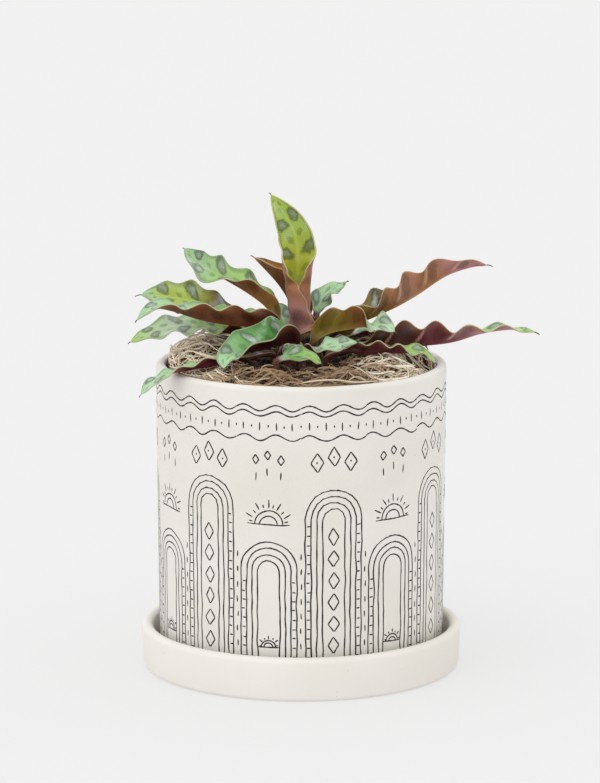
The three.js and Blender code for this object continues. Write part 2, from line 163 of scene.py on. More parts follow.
class Recipe:
    """The node tree of one material."""

    def __init__(self, name: str) -> None:
        """Starts an empty material.

        Args:
            name: Its name.
        """
        self.material = bpy.data.materials.new(name)
        self.material.use_nodes = True
        self.tree = self.material.node_tree
        self.tree.nodes.clear()

    def node(self, kind: str, settings: dict, sockets: dict) -> bpy.types.Node:
        """Adds one node.

        Args:
            kind: The node's type, less the prefix that all of them share.
            settings: Its own settings, set first.
            sockets: A value or a link for each named or numbered input.

        Returns:
            The node.
        """
        made = self.tree.nodes.new(f"ShaderNode{kind}")
        for key, value in settings.items():
            setattr(made, key, value)
        for key, value in sockets.items():
            source = value.socket if isinstance(value, Wire) else value
            if isinstance(source, Socket):
                self.tree.links.new(source, made.inputs[key])
            else:
                made.inputs[key].default_value = source
        return made

    def place(self, stretch: Triple = (1, 1, 1)) -> Socket:
        """Object coordinates, stretched."""
        own = self.node("TexCoord", {}, {}).outputs["Object"]
        return self.node("Mapping", {}, {"Vector": own, "Scale": stretch}).outputs[0]

    def number(self, name: str) -> Wire:
        """The piece's own number attribute."""
        return Wire(self, self.node("Attribute", {"attribute_name": name}, {}).outputs["Fac"])

    def tint(self, name: str) -> Socket:
        """The piece's own colour attribute."""
        return self.node("Attribute", {"attribute_name": name}, {}).outputs["Color"]

    def cloud(self, place: Socket, scale: float, detail: float = 2) -> Wire:
        """Soft noise between 0 and 1, of so many lumps to the metre and finer octaves."""
        sockets = {"Vector": place, "Scale": scale, "Detail": detail}
        return Wire(self, self.node("TexNoise", {}, sockets).outputs["Fac"])

    def mix(
        self, first: "Screen | Socket", second: "Screen | Socket", share: "float | Wire"
    ) -> Socket:
        """Blends two colours.

        Args:
            first: The colour at a share of 0, as a link or a screen colour.
            second: The colour at a share of 1, in the same way.
            share: How much of the second.

        Returns:
            The blended colour.
        """
        low, high = (paint(*c) if isinstance(c, tuple) else c for c in (first, second))
        made = self.node("Mix", {"data_type": "RGBA"}, {0: share, 6: low, 7: high})
        return made.outputs[2]

    def shade(self, colour: Socket, factor: "float | Wire") -> Socket:
        """Makes a colour darker or lighter by a factor."""
        sockets = {0: colour, "Scale": factor}
        return self.node("VectorMath", {"operation": "SCALE"}, sockets).outputs[0]

    def bump(self, height: Wire, depth: float) -> Socket:
        """Turns a relief between 0 and 1 into a normal, at a depth in mm."""
        sockets = {"Height": height, "Distance": depth * MM, "Strength": 1.0}
        return self.node("Bump", {}, sockets).outputs[0]

    def surface(self, **sockets: object) -> bpy.types.Material:
        """Finishes the material with a shader.

        Args:
            **sockets: The shader's inputs, with underscores for spaces.

        Returns:
            The material.
        """
        values = {name.replace("_", " "): value for name, value in sockets.items()}
        shader = self.node("BsdfPrincipled", {}, values)
        self.node("OutputMaterial", {}, {"Surface": shader.outputs[0]})
        return self.material


# Finishes: each is named, holds its screen colours and builds its material


@dataclass(frozen=True)
class StonewareGlaze:
    """An off-white satin glaze with faint clouds, pinholes and the ripple of thrown clay."""

    name: str
    light: Screen
    warm: Screen
    pinhole: Screen = (176, 160, 138)
    roughness: float = 0.42
    relief_depth: float = 0.12

    def material(self) -> bpy.types.Material:
        """Builds the glaze.

        Returns:
            The material.
        """
        recipe = Recipe(self.name)
        place = recipe.place()
        clouds = recipe.cloud(place, 22, 3)
        grain = recipe.cloud(place, 900, 2)
        rings = recipe.cloud(recipe.place((4, 4, 160)), 1, 2)
        pinholes = recipe.cloud(place, 420, 1).step(0.76, 0.82)
        colour = recipe.mix(self.light, self.warm, clouds.step(0.35, 0.7))
        relief = clouds * 0.5 + grain * 0.12 + rings * 0.38 - pinholes * 0.3
        return recipe.surface(
            Base_Color=recipe.mix(colour, self.pinhole, pinholes * 0.3),
            Roughness=self.roughness + 0.12 * grain + pinholes * 0.2,
            Normal=recipe.bump(relief, self.relief_depth),
            Specular_IOR_Level=0.34,
        )


@dataclass(frozen=True)
class InkLine:
    """A fired black line that is a little thinner in colour here and there."""

    name: str = "decoration_black"
    dense: Screen = (18, 16, 16)
    thin: Screen = (52, 49, 48)

    def material(self) -> bpy.types.Material:
        """Builds the line's colour.

        Returns:
            The material.
        """
        recipe = Recipe(self.name)
        wear = recipe.cloud(recipe.place(), 500, 2)
        colour = recipe.mix(self.dense, self.thin, wear.step(0.5, 0.75))
        return recipe.surface(Base_Color=colour, Roughness=0.4 + 0.15 * wear)


@dataclass(frozen=True)
class PottingSoil:
    """Dark crumbly mix with a few pale grains."""

    name: str = "potting_soil"
    dark: Screen = (34, 25, 18)
    light: Screen = (74, 56, 41)
    grain: Screen = (188, 176, 158)

    def material(self) -> bpy.types.Material:
        """Builds the soil's finish.

        Returns:
            The material.
        """
        recipe = Recipe(self.name)
        place = recipe.place()
        crumbs = recipe.cloud(place, 260, 4)
        grains = recipe.cloud(place, 700, 1).step(0.68, 0.74)
        colour = recipe.mix(self.dark, self.light, crumbs.step(0.3, 0.7))
        return recipe.surface(
            Base_Color=recipe.mix(colour, self.grain, grains * 0.6),
            Roughness=0.85 + 0.1 * crumbs,
            Normal=recipe.bump(crumbs, 1.2),
        )


@dataclass(frozen=True)
class MossShade:
    """The shaded depth of the moss: dark brown with dull tan threads."""

    name: str = "moss_depth"
    # Painted shade: the dark browns stand in for the shade deep in the moss
    dark: Screen = (26, 16, 10)
    light: Screen = (64, 42, 26)
    thread: Screen = (146, 112, 76)

    def material(self) -> bpy.types.Material:
        """Builds the mat's finish.

        Returns:
            The material.
        """
        recipe = Recipe(self.name)
        clumps = recipe.cloud(recipe.place(), 240, 4)
        threads = recipe.cloud(recipe.place((900, 220, 400)), 1, 3).step(0.52, 0.66)
        across = recipe.cloud(recipe.place((220, 900, 400)), 1, 3).step(0.54, 0.66)
        woven = threads + across
        colour = recipe.mix(self.dark, self.light, clumps.step(0.35, 0.65))
        return recipe.surface(
            Base_Color=recipe.mix(colour, self.thread, woven * 0.35),
            Roughness=0.9,
            Normal=recipe.bump(clumps * 0.6 + woven * 0.2, 1.5),
        )


@dataclass(frozen=True)
class MossFibre:
    """Dry tan fibre; the attribute "tone" runs from below 0 in the shade to 1 for the palest."""

    name: str = "moss_fibre"
    shaded: Screen = (14, 9, 6)
    dark: Screen = (66, 44, 28)
    tan: Screen = (160, 131, 99)
    pale: Screen = (236, 224, 202)

    def material(self) -> bpy.types.Material:
        """Builds the fibres' finish.

        Returns:
            The material.
        """
        recipe = Recipe(self.name)
        tone = recipe.number("tone")
        mottle = recipe.cloud(recipe.place(), 300, 2)
        colour = recipe.mix(self.shaded, self.dark, tone.step(-0.7, 0.0))
        colour = recipe.mix(colour, self.tan, tone.step(0.0, 0.5))
        colour = recipe.mix(colour, self.pale, tone.step(0.5, 1.0))
        return recipe.surface(
            Base_Color=recipe.shade(colour, 0.78 + 0.4 * mottle),
            Roughness=0.55 + 0.3 * mottle,
            Normal=recipe.bump(mottle, 0.15),
            Specular_IOR_Level=0.4,
        )


@dataclass(frozen=True)
class RattlesnakeLeaf:
    """Leaf skin: blotches large and small by turns above, plain and veined below.

    The leaf's own attributes steer it: "across" and "along" give the place on the blade,
    "upper" the side, "spot" counts blotches, "vein" counts veins, "swell" is the height of
    the wave, and "crease" is highest in its troughs, where a painted highlight goes. The
    colour attributes "tone_above" and "tone_below" hold the ground colours of the two sides.
    Painted sheen lies in patches above and in the blotches' hearts; painted backlight warms
    the underside's margin and darkens it under the blotches.
    """

    name: str = "rattlesnake_leaf"
    margin: Screen = (196, 190, 158)
    # Painted sheen: the pale highlight colour laid over the upper side
    painted_sheen_colour: Screen = (214, 224, 218)
    shadow: Screen = (92, 110, 92)
    # Painted backlight: warm light shining through the thin margin of the underside
    glow: Screen = (176, 112, 60)
    # Painted highlight for the underside's wave troughs
    painted_fold_highlight: Screen = (222, 170, 162)
    dry_tip: Screen = (92, 76, 66)

    def material(self) -> bpy.types.Material:
        """Builds the leaf's finish.

        Returns:
            The material.
        """
        recipe = Recipe(self.name)
        mix, shade = recipe.mix, recipe.shade
        place = recipe.place()
        out = abs(recipe.number("across"))
        along = recipe.number("along")
        vein = (recipe.number("vein") * math.tau).sine()
        # Where the painted highlight goes: the wave troughs, away from the midrib
        crease = recipe.number("crease").step(0.78, 1.0) * out.step(0.02, 0.4)
        mottle = recipe.cloud(place, 210, 3)
        drift = recipe.cloud(place, 85, 2)
        grain = recipe.cloud(place, 1400, 2)
        frayed = recipe.number("spot") + (mottle - 0.5) * 0.7
        # The blotches, and their hearts that take a painted sheen
        blotch, painted_heart_sheen = self.blotches(frayed, out + (drift - 0.5) * 0.35, along, grain)
        rib = out.step(0.07, 0.025)
        edge = out.step(0.955, 0.99)
        band = (out + (drift - 0.5) * 0.3).step(0.62, 0.95) * (1 - edge)
        # Painted sheen: patches of highlight, stronger on the wave crests
        painted_sheen_patches = recipe.cloud(place, 150, 4).step(0.5, 0.68) * (0.7 + 0.3 * recipe.number("swell"))

        above = recipe.tint("tone_above")
        dark = mix(shade(above, 0.34), self.shadow, 0.32)
        # Painted sheen over the blotches and in their hearts
        dark = mix(dark, self.painted_sheen_colour, painted_sheen_patches * 0.45 + painted_heart_sheen * drift * 0.75)
        top = shade(above, 0.86 + 0.36 * drift + vein * 0.05 + out * 0.1)
        # Painted sheen on the upper side, stronger in the band by the margin
        top = mix(top, self.painted_sheen_colour, painted_sheen_patches * (0.4 + 0.45 * band))
        top = mix(top, dark, blotch * 0.94)
        top = mix(top, dark, band * 0.55)
        top = mix(top, shade(above, 1.3), rib * 0.55)

        below = recipe.tint("tone_below")
        # Painted shade: the top's blotches darken the underside as backlight through the blade
        # would show them
        under = shade(below, 0.8 + 0.34 * mottle + vein * 0.04 - blotch * 0.34)
        # Painted backlight warms the underside towards the margin
        under = mix(under, self.glow, out.step(0.55, 1.0) * 0.22)
        # Painted highlight in the wave troughs
        under = mix(under, self.painted_fold_highlight, crease * (0.25 + 0.6 * drift))
        under = mix(under, shade(below, 1.8), rib * 0.5)

        colour = mix(under, top, recipe.number("upper").step(0.35, 0.65))
        colour = mix(colour, self.margin, edge * (0.2 + 0.4 * mottle))
        relief = 0.5 + vein * 0.22 + mottle * 0.3 - rib * 0.3 + grain * 0.08
        return recipe.surface(
            Base_Color=mix(colour, self.dry_tip, along.step(1.0, 1.05)),
            Roughness=0.33 + 0.2 * mottle - blotch * 0.04,
            Normal=recipe.bump(relief, 0.1),
            Specular_IOR_Level=0.5,
        )

    @staticmethod
    def blotches(spot: Wire, out: Wire, along: Wire, grain: Wire) -> tuple[Wire, Wire]:
        """Soft ovals that lie along the side veins, large and small by turns.

        Args:
            spot: The count of blotches along the blade.
            out: The distance from the midrib, 0 to 1.
            along: The distance up the blade, 0 to 1.
            grain: Noise that frays the outline.

        Returns:
            The blotches' mask, and the mask of their hearts, where a painted sheen goes.
        """
        cell = spot.floor()
        large = (cell * 0.5).fract() * 2
        length = 0.18 + 0.26 * large
        lengthwise = (spot - cell - 0.5) / (0.22 + 0.22 * large)
        crosswise = (out - 0.07 - length) / length
        fray = grain - 0.5
        ring = (lengthwise * lengthwise + crosswise * crosswise).root() + fray * 0.3
        whole = along.step(0.02, 0.08) * along.step(0.99, 0.94)
        blotch = ring.step(1.15, 0.72) * whole * (0.5 + 0.5 * large)
        return blotch, (ring + fray * 0.5).step(0.85, 0.15) * large


@dataclass(frozen=True)
class PaleBackdrop:
    """The floor's matt near-white, which glows a little like a light table."""

    name: str = "pale_floor"
    dark: Screen = (154, 154, 154)
    light: Screen = (155, 155, 155)
    glow: float = 0.5

    def material(self) -> bpy.types.Material:
        """Builds the floor's finish.

        Returns:
            The material.
        """
        recipe = Recipe(self.name)
        return recipe.surface(
            Base_Color=recipe.mix(self.dark, self.light, recipe.cloud(recipe.place(), 3, 2)),
            Roughness=0.9,
            Specular_IOR_Level=0.0,
            Emission_Color=(1, 1, 1, 1),
            Emission_Strength=self.glow,
        )


# Shared making


def deselect() -> None:
    """Selects nothing, so that an operator acts on new work alone."""
    bpy.ops.object.select_all(action="DESELECT")


@contextmanager
def editing() -> Iterator[None]:
    """Holds the active piece in edit mode, with everything selected."""
    bpy.ops.object.mode_set(mode="EDIT")
    bpy.ops.mesh.select_all(action="SELECT")
    yield
    bpy.ops.object.mode_set(mode="OBJECT")


def smooth(angle: float) -> None:
    """Smooths the selected piece, up to an angle in degrees between its faces."""
    bpy.ops.object.shade_smooth_by_angle(angle=math.radians(angle))


def finish_piece(
    piece: Piece, name: str, material: bpy.types.Material, node: str
) -> Piece:
    """Names, dresses and seats a piece.

    Args:
        piece: The piece.
        name: Its name.
        material: Its material.
        node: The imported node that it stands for.

    Returns:
        The piece.
    """
    piece.name = name
    piece.data.name = name
    piece.data.materials.clear()
    piece.data.materials.append(material)
    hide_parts(node)
    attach(piece, BODY)
    LOG.info("%s: %d faces", name, len(piece.data.polygons))
    return piece


def clean_shell() -> None:
    """In edit mode: merges doubles, closes open ends and turns every face outwards."""
    bpy.ops.mesh.remove_doubles(threshold=0.002 * MM)
    bpy.ops.mesh.fill_holes(sides=0)
    bpy.ops.mesh.select_all(action="SELECT")
    bpy.ops.mesh.normals_make_consistent(inside=False)


def turned_piece(profile: list[Pair], sides: int) -> Piece:
    """Turns a profile as on a wheel: a ring that is extruded and resized step by step.

    Args:
        profile: [radius, height] points in mm.
        sides: Sides round.

    Returns:
        The piece, still undressed.
    """
    deselect()
    radius, height = profile[0]
    bpy.ops.mesh.primitive_circle_add(
        vertices=sides, radius=radius * MM, location=(0, 0, height * MM), fill_type="NOTHING"
    )
    bpy.ops.object.transform_apply(location=True, rotation=True, scale=True)
    with editing():
        for wider, higher in profile[1:]:
            lift = (0, 0, (higher - height) * MM)
            bpy.ops.mesh.extrude_region_move(TRANSFORM_OT_translate={"value": lift})
            grow = wider / radius
            centre = (0, 0, higher * MM)
            bpy.ops.transform.resize(value=(grow, grow, 1), center_override=centre)
            radius, height = wider, higher
        bpy.ops.mesh.select_all(action="SELECT")
        clean_shell()
    smooth(38)
    return bpy.context.object


def rounded(centre: Pair, radius: float, start: float, end: float, steps: int) -> list[Pair]:
    """Points of an arc in a profile.

    Args:
        centre: [radius, height] of the arc's centre, in mm.
        radius: Radius of the arc.
        start: First angle in degrees.
        end: Last angle in degrees.
        steps: Steps between them.

    Returns:
        The arc's points.
    """
    angles = [math.radians(start + (end - start) * i / steps) for i in range(steps + 1)]
    return [(centre[0] + radius * math.cos(a), centre[1] + radius * math.sin(a)) for a in angles]


def write_numbers(piece: Piece, numbers: dict[str, np.ndarray]) -> None:
    """Stores numbers or colours on the points of a mesh.

    Args:
        piece: The piece.
        numbers: Arrays of one number or of four for each point, by attribute name.
    """
    for name, values in numbers.items():
        kind, part = ("FLOAT_COLOR", "color") if values.ndim == 2 else ("FLOAT", "value")
        made = piece.data.attributes.new(name, kind, "POINT")
        made.data.foreach_set(part, values.astype(np.float32).ravel())


def strand_template(sides: int, stations: int) -> tuple[np.ndarray, np.ndarray, list[list[int]]]:
    """Models one straight strand, which every copy then follows along its own path.

    Args:
        sides: Corners of its section.
        stations: Sections along it.

    Returns:
        The section angle and the station of each point, and the faces.
    """
    deselect()
    bpy.ops.mesh.primitive_cylinder_add(
        vertices=sides, radius=1, depth=1, end_fill_type="NGON", location=(0, 0, 0)
    )
    strand = bpy.context.object
    with editing():
        bpy.ops.mesh.select_mode(type="EDGE")
        bpy.ops.mesh.select_all(action="DESELECT")
    for edge in strand.data.edges:
        low, high = (strand.data.vertices[i].co.z for i in edge.vertices)
        edge.select = abs(low - high) > 0.5
    bpy.ops.object.mode_set(mode="EDIT")
    bpy.ops.mesh.subdivide(number_cuts=stations - 2)
    bpy.ops.mesh.select_mode(type="VERT")
    bpy.ops.object.mode_set(mode="OBJECT")
    places = np.array([tuple(v.co) for v in strand.data.vertices])
    angles = np.arctan2(places[:, 1], places[:, 0])
    station = np.rint((places[:, 2] + 0.5) * (stations - 1)).astype(int)
    faces = [list(face.vertices) for face in strand.data.polygons]
    bpy.data.objects.remove(strand, do_unlink=True)
    return angles, station, faces


def unit(vectors: np.ndarray) -> np.ndarray:
    """Vectors of any number, each at a length of 1."""
    return vectors / (np.linalg.norm(vectors, axis=-1, keepdims=True) + 1e-9)


def strands_piece(
    paths: np.ndarray, ups: np.ndarray, widths: np.ndarray, heights: np.ndarray, sides: int
) -> Piece:
    """Copies one modelled strand along many paths.

    Args:
        paths: Points in mm, as strands by stations by 3.
        ups: The direction of each station's thickness, in the same shape.
        widths: Half width at each station, as strands by stations.
        heights: Half thickness at each station.
        sides: Corners of the section.

    Returns:
        One piece that holds all the copies.
    """
    count, stations = widths.shape
    angles, station, faces = strand_template(sides, stations)
    along = unit(np.gradient(paths, axis=1))
    side = unit(np.cross(along, ups))
    lift = np.cross(side, along)
    spread = np.cos(angles)[None, :, None] * widths[:, station, None] * side[:, station]
    rise = np.sin(angles)[None, :, None] * heights[:, station, None] * lift[:, station]
    points = (paths[:, station] + spread + rise).reshape(-1, 3) * MM
    copies = [[i + k * len(angles) for i in face] for k in range(count) for face in faces]
    mesh = bpy.data.meshes.new("strands")
    mesh.from_pydata(points.tolist(), [], copies)
    piece = bpy.data.objects.new("strands", mesh)
    bpy.context.scene.collection.objects.link(piece)
    deselect()
    bpy.context.view_layer.objects.active = piece
    piece.select_set(True)
    with editing():
        bpy.ops.mesh.normals_make_consistent(inside=False)
    smooth(80)
    return piece


# Planter and saucer


@dataclass
class Saucer:
    """The low round tray with a rounded lip.

    Attributes:
        radius: Outer radius.
        wall: Thickness of the wall.
        height: Height of the lip.
        floor: Height of the floor that the planter stands on.
        middle: Radius of the flat part that closes the floor and the underside.
        heel: Radius of the rounded edge under the wall.
        cove: Radius of the hollow corner inside.
        sides: Sides round.
    """

    radius: float = 70.4
    wall: float = 5.0
    height: float = 19.3
    floor: float = 6.0
    middle: float = 30.0
    heel: float = 2.5
    cove: float = 2.0
    sides: int = 160

    def build(self) -> Piece:
        """Turns and dresses the saucer.

        Returns:
            The piece.
        """
        inside = self.radius - self.wall
        half = self.wall / 2
        profile = [(self.middle, 0.0), (self.radius - 3.2, 0.0)]
        profile += rounded((self.radius - 3.1, self.heel), self.heel, -80, -12, 5)
        profile += rounded((self.radius - half, self.height - half), half, 0, 180, 12)
        profile += rounded((inside - 2.6, self.floor + self.cove), self.cove, 0, -90, 5)
        profile += [(self.middle, self.floor)]
        piece = turned_piece(profile, self.sides)
        glaze = StonewareGlaze("saucer_glaze", (231, 227, 221), (226, 221, 213))
        return finish_piece(piece, "saucer_turned", glaze.material(), "saucer")


@dataclass
class Planter:
    """The straight round pot, a little wider at its rim than at its foot.

    Attributes:
        top_radius: Outer radius under the lip.
        foot_radius: Outer radius at the foot.
        wall: Thickness of the wall.
        floor: Thickness of the floor.
        drain: Radius of the drainage hole.
        heel: Radius of the rounded edge at the foot.
        cove: Radius of the hollow corner inside.
        sides: Sides round.
    """

    top_radius: float = LIP_RADIUS + LIP_HALF
    foot_radius: float = 62.5
    wall: float = 2 * LIP_HALF
    floor: float = 4.0
    drain: float = 5.0
    heel: float = 1.6
    cove: float = 2.0
    sides: int = 160

    def outer_radius(self, height: "float | np.ndarray") -> "float | np.ndarray":
        """The outer wall's radius at a height above the floor that the pot stands on.

        Args:
            height: The height, or many.

        Returns:
            The radius, or many.
        """
        low, high = POT_BASE_Z + 1.5, POT_RIM_Z - self.wall / 2
        share = (height - low) / (high - low)
        return self.foot_radius + share * (self.top_radius - self.foot_radius)

    def build(self) -> Piece:
        """Turns and dresses the planter.

        Returns:
            The piece.
        """
        half, heel, cove = self.wall / 2, self.heel, self.cove
        inside = self.foot_radius - self.wall
        low, inner = POT_BASE_Z, POT_BASE_Z + self.floor
        profile = [(self.drain, low), (self.foot_radius - 2.2, low)]
        profile += rounded((self.foot_radius - heel, low + heel), heel, -80, 0, 5)
        profile += [(self.outer_radius(z), z) for z in (30, 60, 90, 120)]
        profile += rounded((self.top_radius - half, POT_RIM_Z - half), half, 0, 180, 12)
        profile += rounded((inside - cove, inner + cove), cove, 0, -90, 5)
        profile += [(self.drain, inner), (self.drain, low)]
        piece = turned_piece(profile, self.sides)
        glaze = StonewareGlaze("planter_glaze", (227, 224, 218), (222, 218, 210))
        return finish_piece(
            piece, "planter_turned", glaze.material(), "planter"
        )


@dataclass
class Decoration:
    """Thin black hand-drawn lines round the planter, laid out by rule.

    Tall and low nested arches stand by turns, with half suns over the low ones,
    diamonds over the tall ones, and waves, dots and dashes above them all.

    Attributes:
        planter: The planter that it lies on.
        cells: How many arches stand round it.
        foot: Height at which the arches start.
        tall: Height of a tall arch.
        low: Height of a low arch.
        arch_half: Half width of the outermost arch.
        arch_step: How much narrower on each side the next arch inside is.
        arch_drop: How much lower it is.
        rung_place: Distance of the rungs from the middle of their arch.
        rung_pitch: Distance from rung to rung.
        rung_start: Height of the lowest rung over the foot.
        rung_stop: How far the rungs stay under the top of the arch.
        waves: Heights of the wavy lines.
        wave_rise: How far a wavy line swings to each side.
        frieze: Height of the row of dashes between the waves.
        line: Half width of a line.
        proud: How far a line stands out of the wall.
        wobble: How far the drawing hand strays.
        seed: Seed of the hand's random numbers.
        strokes: The lines drawn so far, by their number of points.
    """

    planter: Planter
    cells: int = 14
    foot: float = 15.0
    tall: float = 78.0
    low: float = 52.0
    arch_half: float = 12.4
    arch_step: float = 2.5
    arch_drop: float = 2.7
    rung_place: float = 11.1
    rung_pitch: float = 4.1
    rung_start: float = 3.0
    rung_stop: float = 14.0
    waves: tuple[float, ...] = (113.5, 124.0, 126.5)
    wave_rise: float = 1.3
    frieze: float = 118.5
    line: float = 0.3
    proud: float = 0.05
    wobble: float = 0.28
    seed: int = 11
    strokes: dict[int, list[np.ndarray]] = field(default_factory=dict)

    def __post_init__(self) -> None:
        """Seeds the drawing hand's random numbers and the noise that it strays by."""
        self.random = np.random.RandomState(self.seed)
        noise.seed_set(self.seed)
        self.cell = math.tau * self.planter.top_radius / self.cells

    def stroke(self, points: list[Pair], stations: int) -> None:
        """Adds one line, evenly spaced and with the hand's wobble.

        Args:
            points: [distance round, height] points in mm.
            stations: Points that the line is redrawn with.
        """
        raw = np.array(points, float)
        steps = np.hypot(*np.diff(raw, axis=0).T)
        reach = np.concatenate([[0], np.cumsum(steps)])
        even = np.linspace(0, reach[-1], stations)
        drawn = np.stack([np.interp(even, reach, raw[:, k]) for k in (0, 1)], axis=1)
        shift = self.random.uniform(0, 90)
        for row in drawn:
            spot = Vector((row[0] * 0.13 + shift, row[1] * 0.13, shift))
            row += self.wobble * np.array(noise.noise_vector(spot)[:2]) * 2
        self.strokes.setdefault(stations, []).append(drawn)

    @staticmethod
    def bow(middle: float, foot: float, radius: float) -> list[Pair]:
        """Points of a half circle that stands on its two ends."""
        turns = np.linspace(0, math.pi, 16)
        return [(middle - radius * math.cos(a), foot + radius * math.sin(a)) for a in turns]

    def arch(self, middle: float, half: float, height: float) -> None:
        """Draws one arch: two legs and a round head."""
        head = self.bow(middle, self.foot + (height - half), half)
        self.stroke([(middle - half, self.foot), *head, (middle + half, self.foot)], 48)

    def half_sun(self, middle: float, height: float, radius: float, rays: int) -> None:
        """Draws a half disc on a line, with long and short rays.

        Args:
            middle: Its place round the planter.
            height: Height of its line.
            radius: Radius of its disc.
            rays: How many rays it has.
        """
        for size in (radius, radius * 0.62):
            self.stroke(self.bow(middle, height, size), 20)
        self.stroke([(middle - radius * 1.5, height), (middle + radius * 1.5, height)], 8)
        for i in range(rays):
            angle = math.pi * (i + 0.5) / rays
            ends = (radius * 1.18, radius * (1.75 if i % 2 else 1.45))
            ray = [(middle - r * math.cos(angle), height + r * math.sin(angle)) for r in ends]
            self.stroke(ray, 4)

    def diamond(self, middle: float, height: float, half: float, tall: float) -> None:
        """Draws a closed diamond."""
        corners = [(0, tall), (half, 0), (0, -tall), (-half, 0), (0, tall)]
        self.stroke([(middle + x, height + z) for x, z in corners], 20)

    def dash(self, middle: float, height: float, reach: float, tilt: float = 90) -> None:
        """Draws a short straight stroke at a tilt in degrees."""
        x, z = reach * math.cos(math.radians(tilt)) / 2, reach * math.sin(math.radians(tilt)) / 2
        self.stroke([(middle - x, height - z), (middle + x, height + z)], 4)

    def wave(self, height: float) -> None:
        """Draws a wavy line all round, in one stroke for each cell.

        Args:
            height: The line's height.
        """
        whole = self.cell / 2
        for i in range(self.cells):
            places = np.linspace(i * self.cell, (i + 1) * self.cell, 30)
            bends = [height + self.wave_rise * math.sin(math.tau * u / whole) for u in places]
            self.stroke(list(zip(places, bends)), 30)

    def draw_cell(self, index: int) -> None:
        """Draws one arch with its filling, what hangs over it and the dashes beside it.

        Args:
            index: Which of the cells, from 0.
        """
        foot = self.foot
        middle = (index + 0.5) * self.cell
        tall = index % 2 == 0
        top = (self.tall if tall else self.low) + self.random.uniform(-3, 3)
        for k in range(4):
            self.arch(middle, self.arch_half - self.arch_step * k, top - self.arch_drop * k)
        reach = top - self.rung_stop - self.rung_start
        for k in range(math.ceil(reach / self.rung_pitch)):
            height = foot + self.rung_start + self.rung_pitch * k
            for side in (-1, 1):
                self.dash(middle + side * self.rung_place, height, 1.5, 0)
        if tall:
            for k in range(6):
                self.diamond(middle, foot + 8 + 9.5 * k, 2.4, 3.7)
        else:
            self.half_sun(middle, foot + 7, 3.1, 7)
            self.half_sun(middle, foot + 61, 6.2, 11)
        for k in (-1, 0, 1):
            if tall:
                place = (middle + 7.4 * k, foot + 88 + 2.5 * (k == 0))
                self.diamond(*place, 2.8, 4.3)
                self.dash(*place, 0.9)
            else:
                place = middle + 5.5 * k
                self.dash(place, foot + 82 + 2 * (k == 0), 3.2)
                self.diamond(place, foot + 89 + 2 * (k == 0), 1.5, 2.1)
        for k in range(7):
            self.dash(index * self.cell, foot + 8 + 6.5 * k, 2.6)

    def draw(self) -> None:
        """Draws the cells, the frieze and the waves."""
        for i in range(self.cells):
            self.draw_cell(i)
        for i in range(self.cells * 4):
            middle = (i + 0.5) * self.cell / 4
            self.dash(middle, self.frieze, 3.4)
            self.dash(middle + self.cell / 8, self.frieze, 1.1)
        for height in self.waves:
            self.wave(height)

    def build(self) -> Piece:
        """Lays the lines on the planter's wall as thin raised strokes.

        Returns:
            The piece.
        """
        self.draw()
        parts = []
        for stations, drawn in self.strokes.items():
            plan = np.array(drawn)
            turn, height = plan[..., 0] / self.planter.top_radius, plan[..., 1]
            outward = np.stack([np.sin(turn), -np.cos(turn), np.zeros_like(turn)], axis=-1)
            paths = outward * self.planter.outer_radius(height)[..., None]
            paths[..., 2] = height
            pressure = self.random.uniform(0.85, 1.25, turn.shape)
            pressure[:, [0, -1]] *= 0.55
            depth = np.full(turn.shape, self.proud)
            parts.append(strands_piece(paths, outward, self.line * pressure, depth, 4))
        deselect()
        for part in parts:
            part.select_set(True)
        bpy.context.view_layer.objects.active = parts[0]
        bpy.ops.object.join()
        ink = InkLine().material()
        return finish_piece(
            bpy.context.object, "planter_decoration", ink, "planter"
        )


# Leaves

# How a blade grows out of its stem, as shares of its length
STEM_SHARE = 0.1
FOLD_SHARE = 0.12

# How fast the waves reach their full height, and how far the left margin's waves lag
WAVE_RISE = 6
SIDE_LAG = 1.6

# Heights of a stem's foot in the soil, of the end of its upright part and of where it leans
STEM_FOOT_Z = 113.0
STEM_KNEE_Z = 138.5
STEM_TOP_Z = 139.0


class Tone(Enum):
    """The plant's ground colours, as screen colours."""

    FRESH = (152, 188, 104)
    MINT = (160, 196, 150)
    FROST = (192, 216, 180)
    LIME = (176, 198, 92)
    YELLOW = (202, 204, 74)
    DEEP = (92, 150, 66)
    OLIVE = (128, 108, 28)
    MAROON = (72, 30, 28)
    WINE = (108, 44, 54)
    PLUM = (122, 68, 70)
    ROSE = (164, 112, 110)
    BROWN = (102, 56, 30)
    RUST = (150, 96, 56)
    AMBER = (172, 122, 52)
    CLAY = (162, 112, 88)
    PETIOLE = (96, 56, 46)

    def linear(self) -> np.ndarray:
        """The linear colour, with alpha."""
        return np.array(paint(*self.value))


def eased(keys: list, share: float) -> np.ndarray:
    """The value at a share of a list of keys that are spread evenly over 0 to 1.

    Args:
        keys: Numbers or arrays.
        share: The place, 0 to 1.

    Returns:
        The value, eased from key to key.
    """
    if len(keys) == 1:
        return np.array(keys[0], float)
    place = min(max(share, 0.0), 1.0) * (len(keys) - 1)
    index = min(int(place), len(keys) - 2)
    blend = place - index
    blend = blend * blend * (3 - 2 * blend)
    first, second = np.array(keys[index], float), np.array(keys[index + 1], float)
    return first + (second - first) * blend


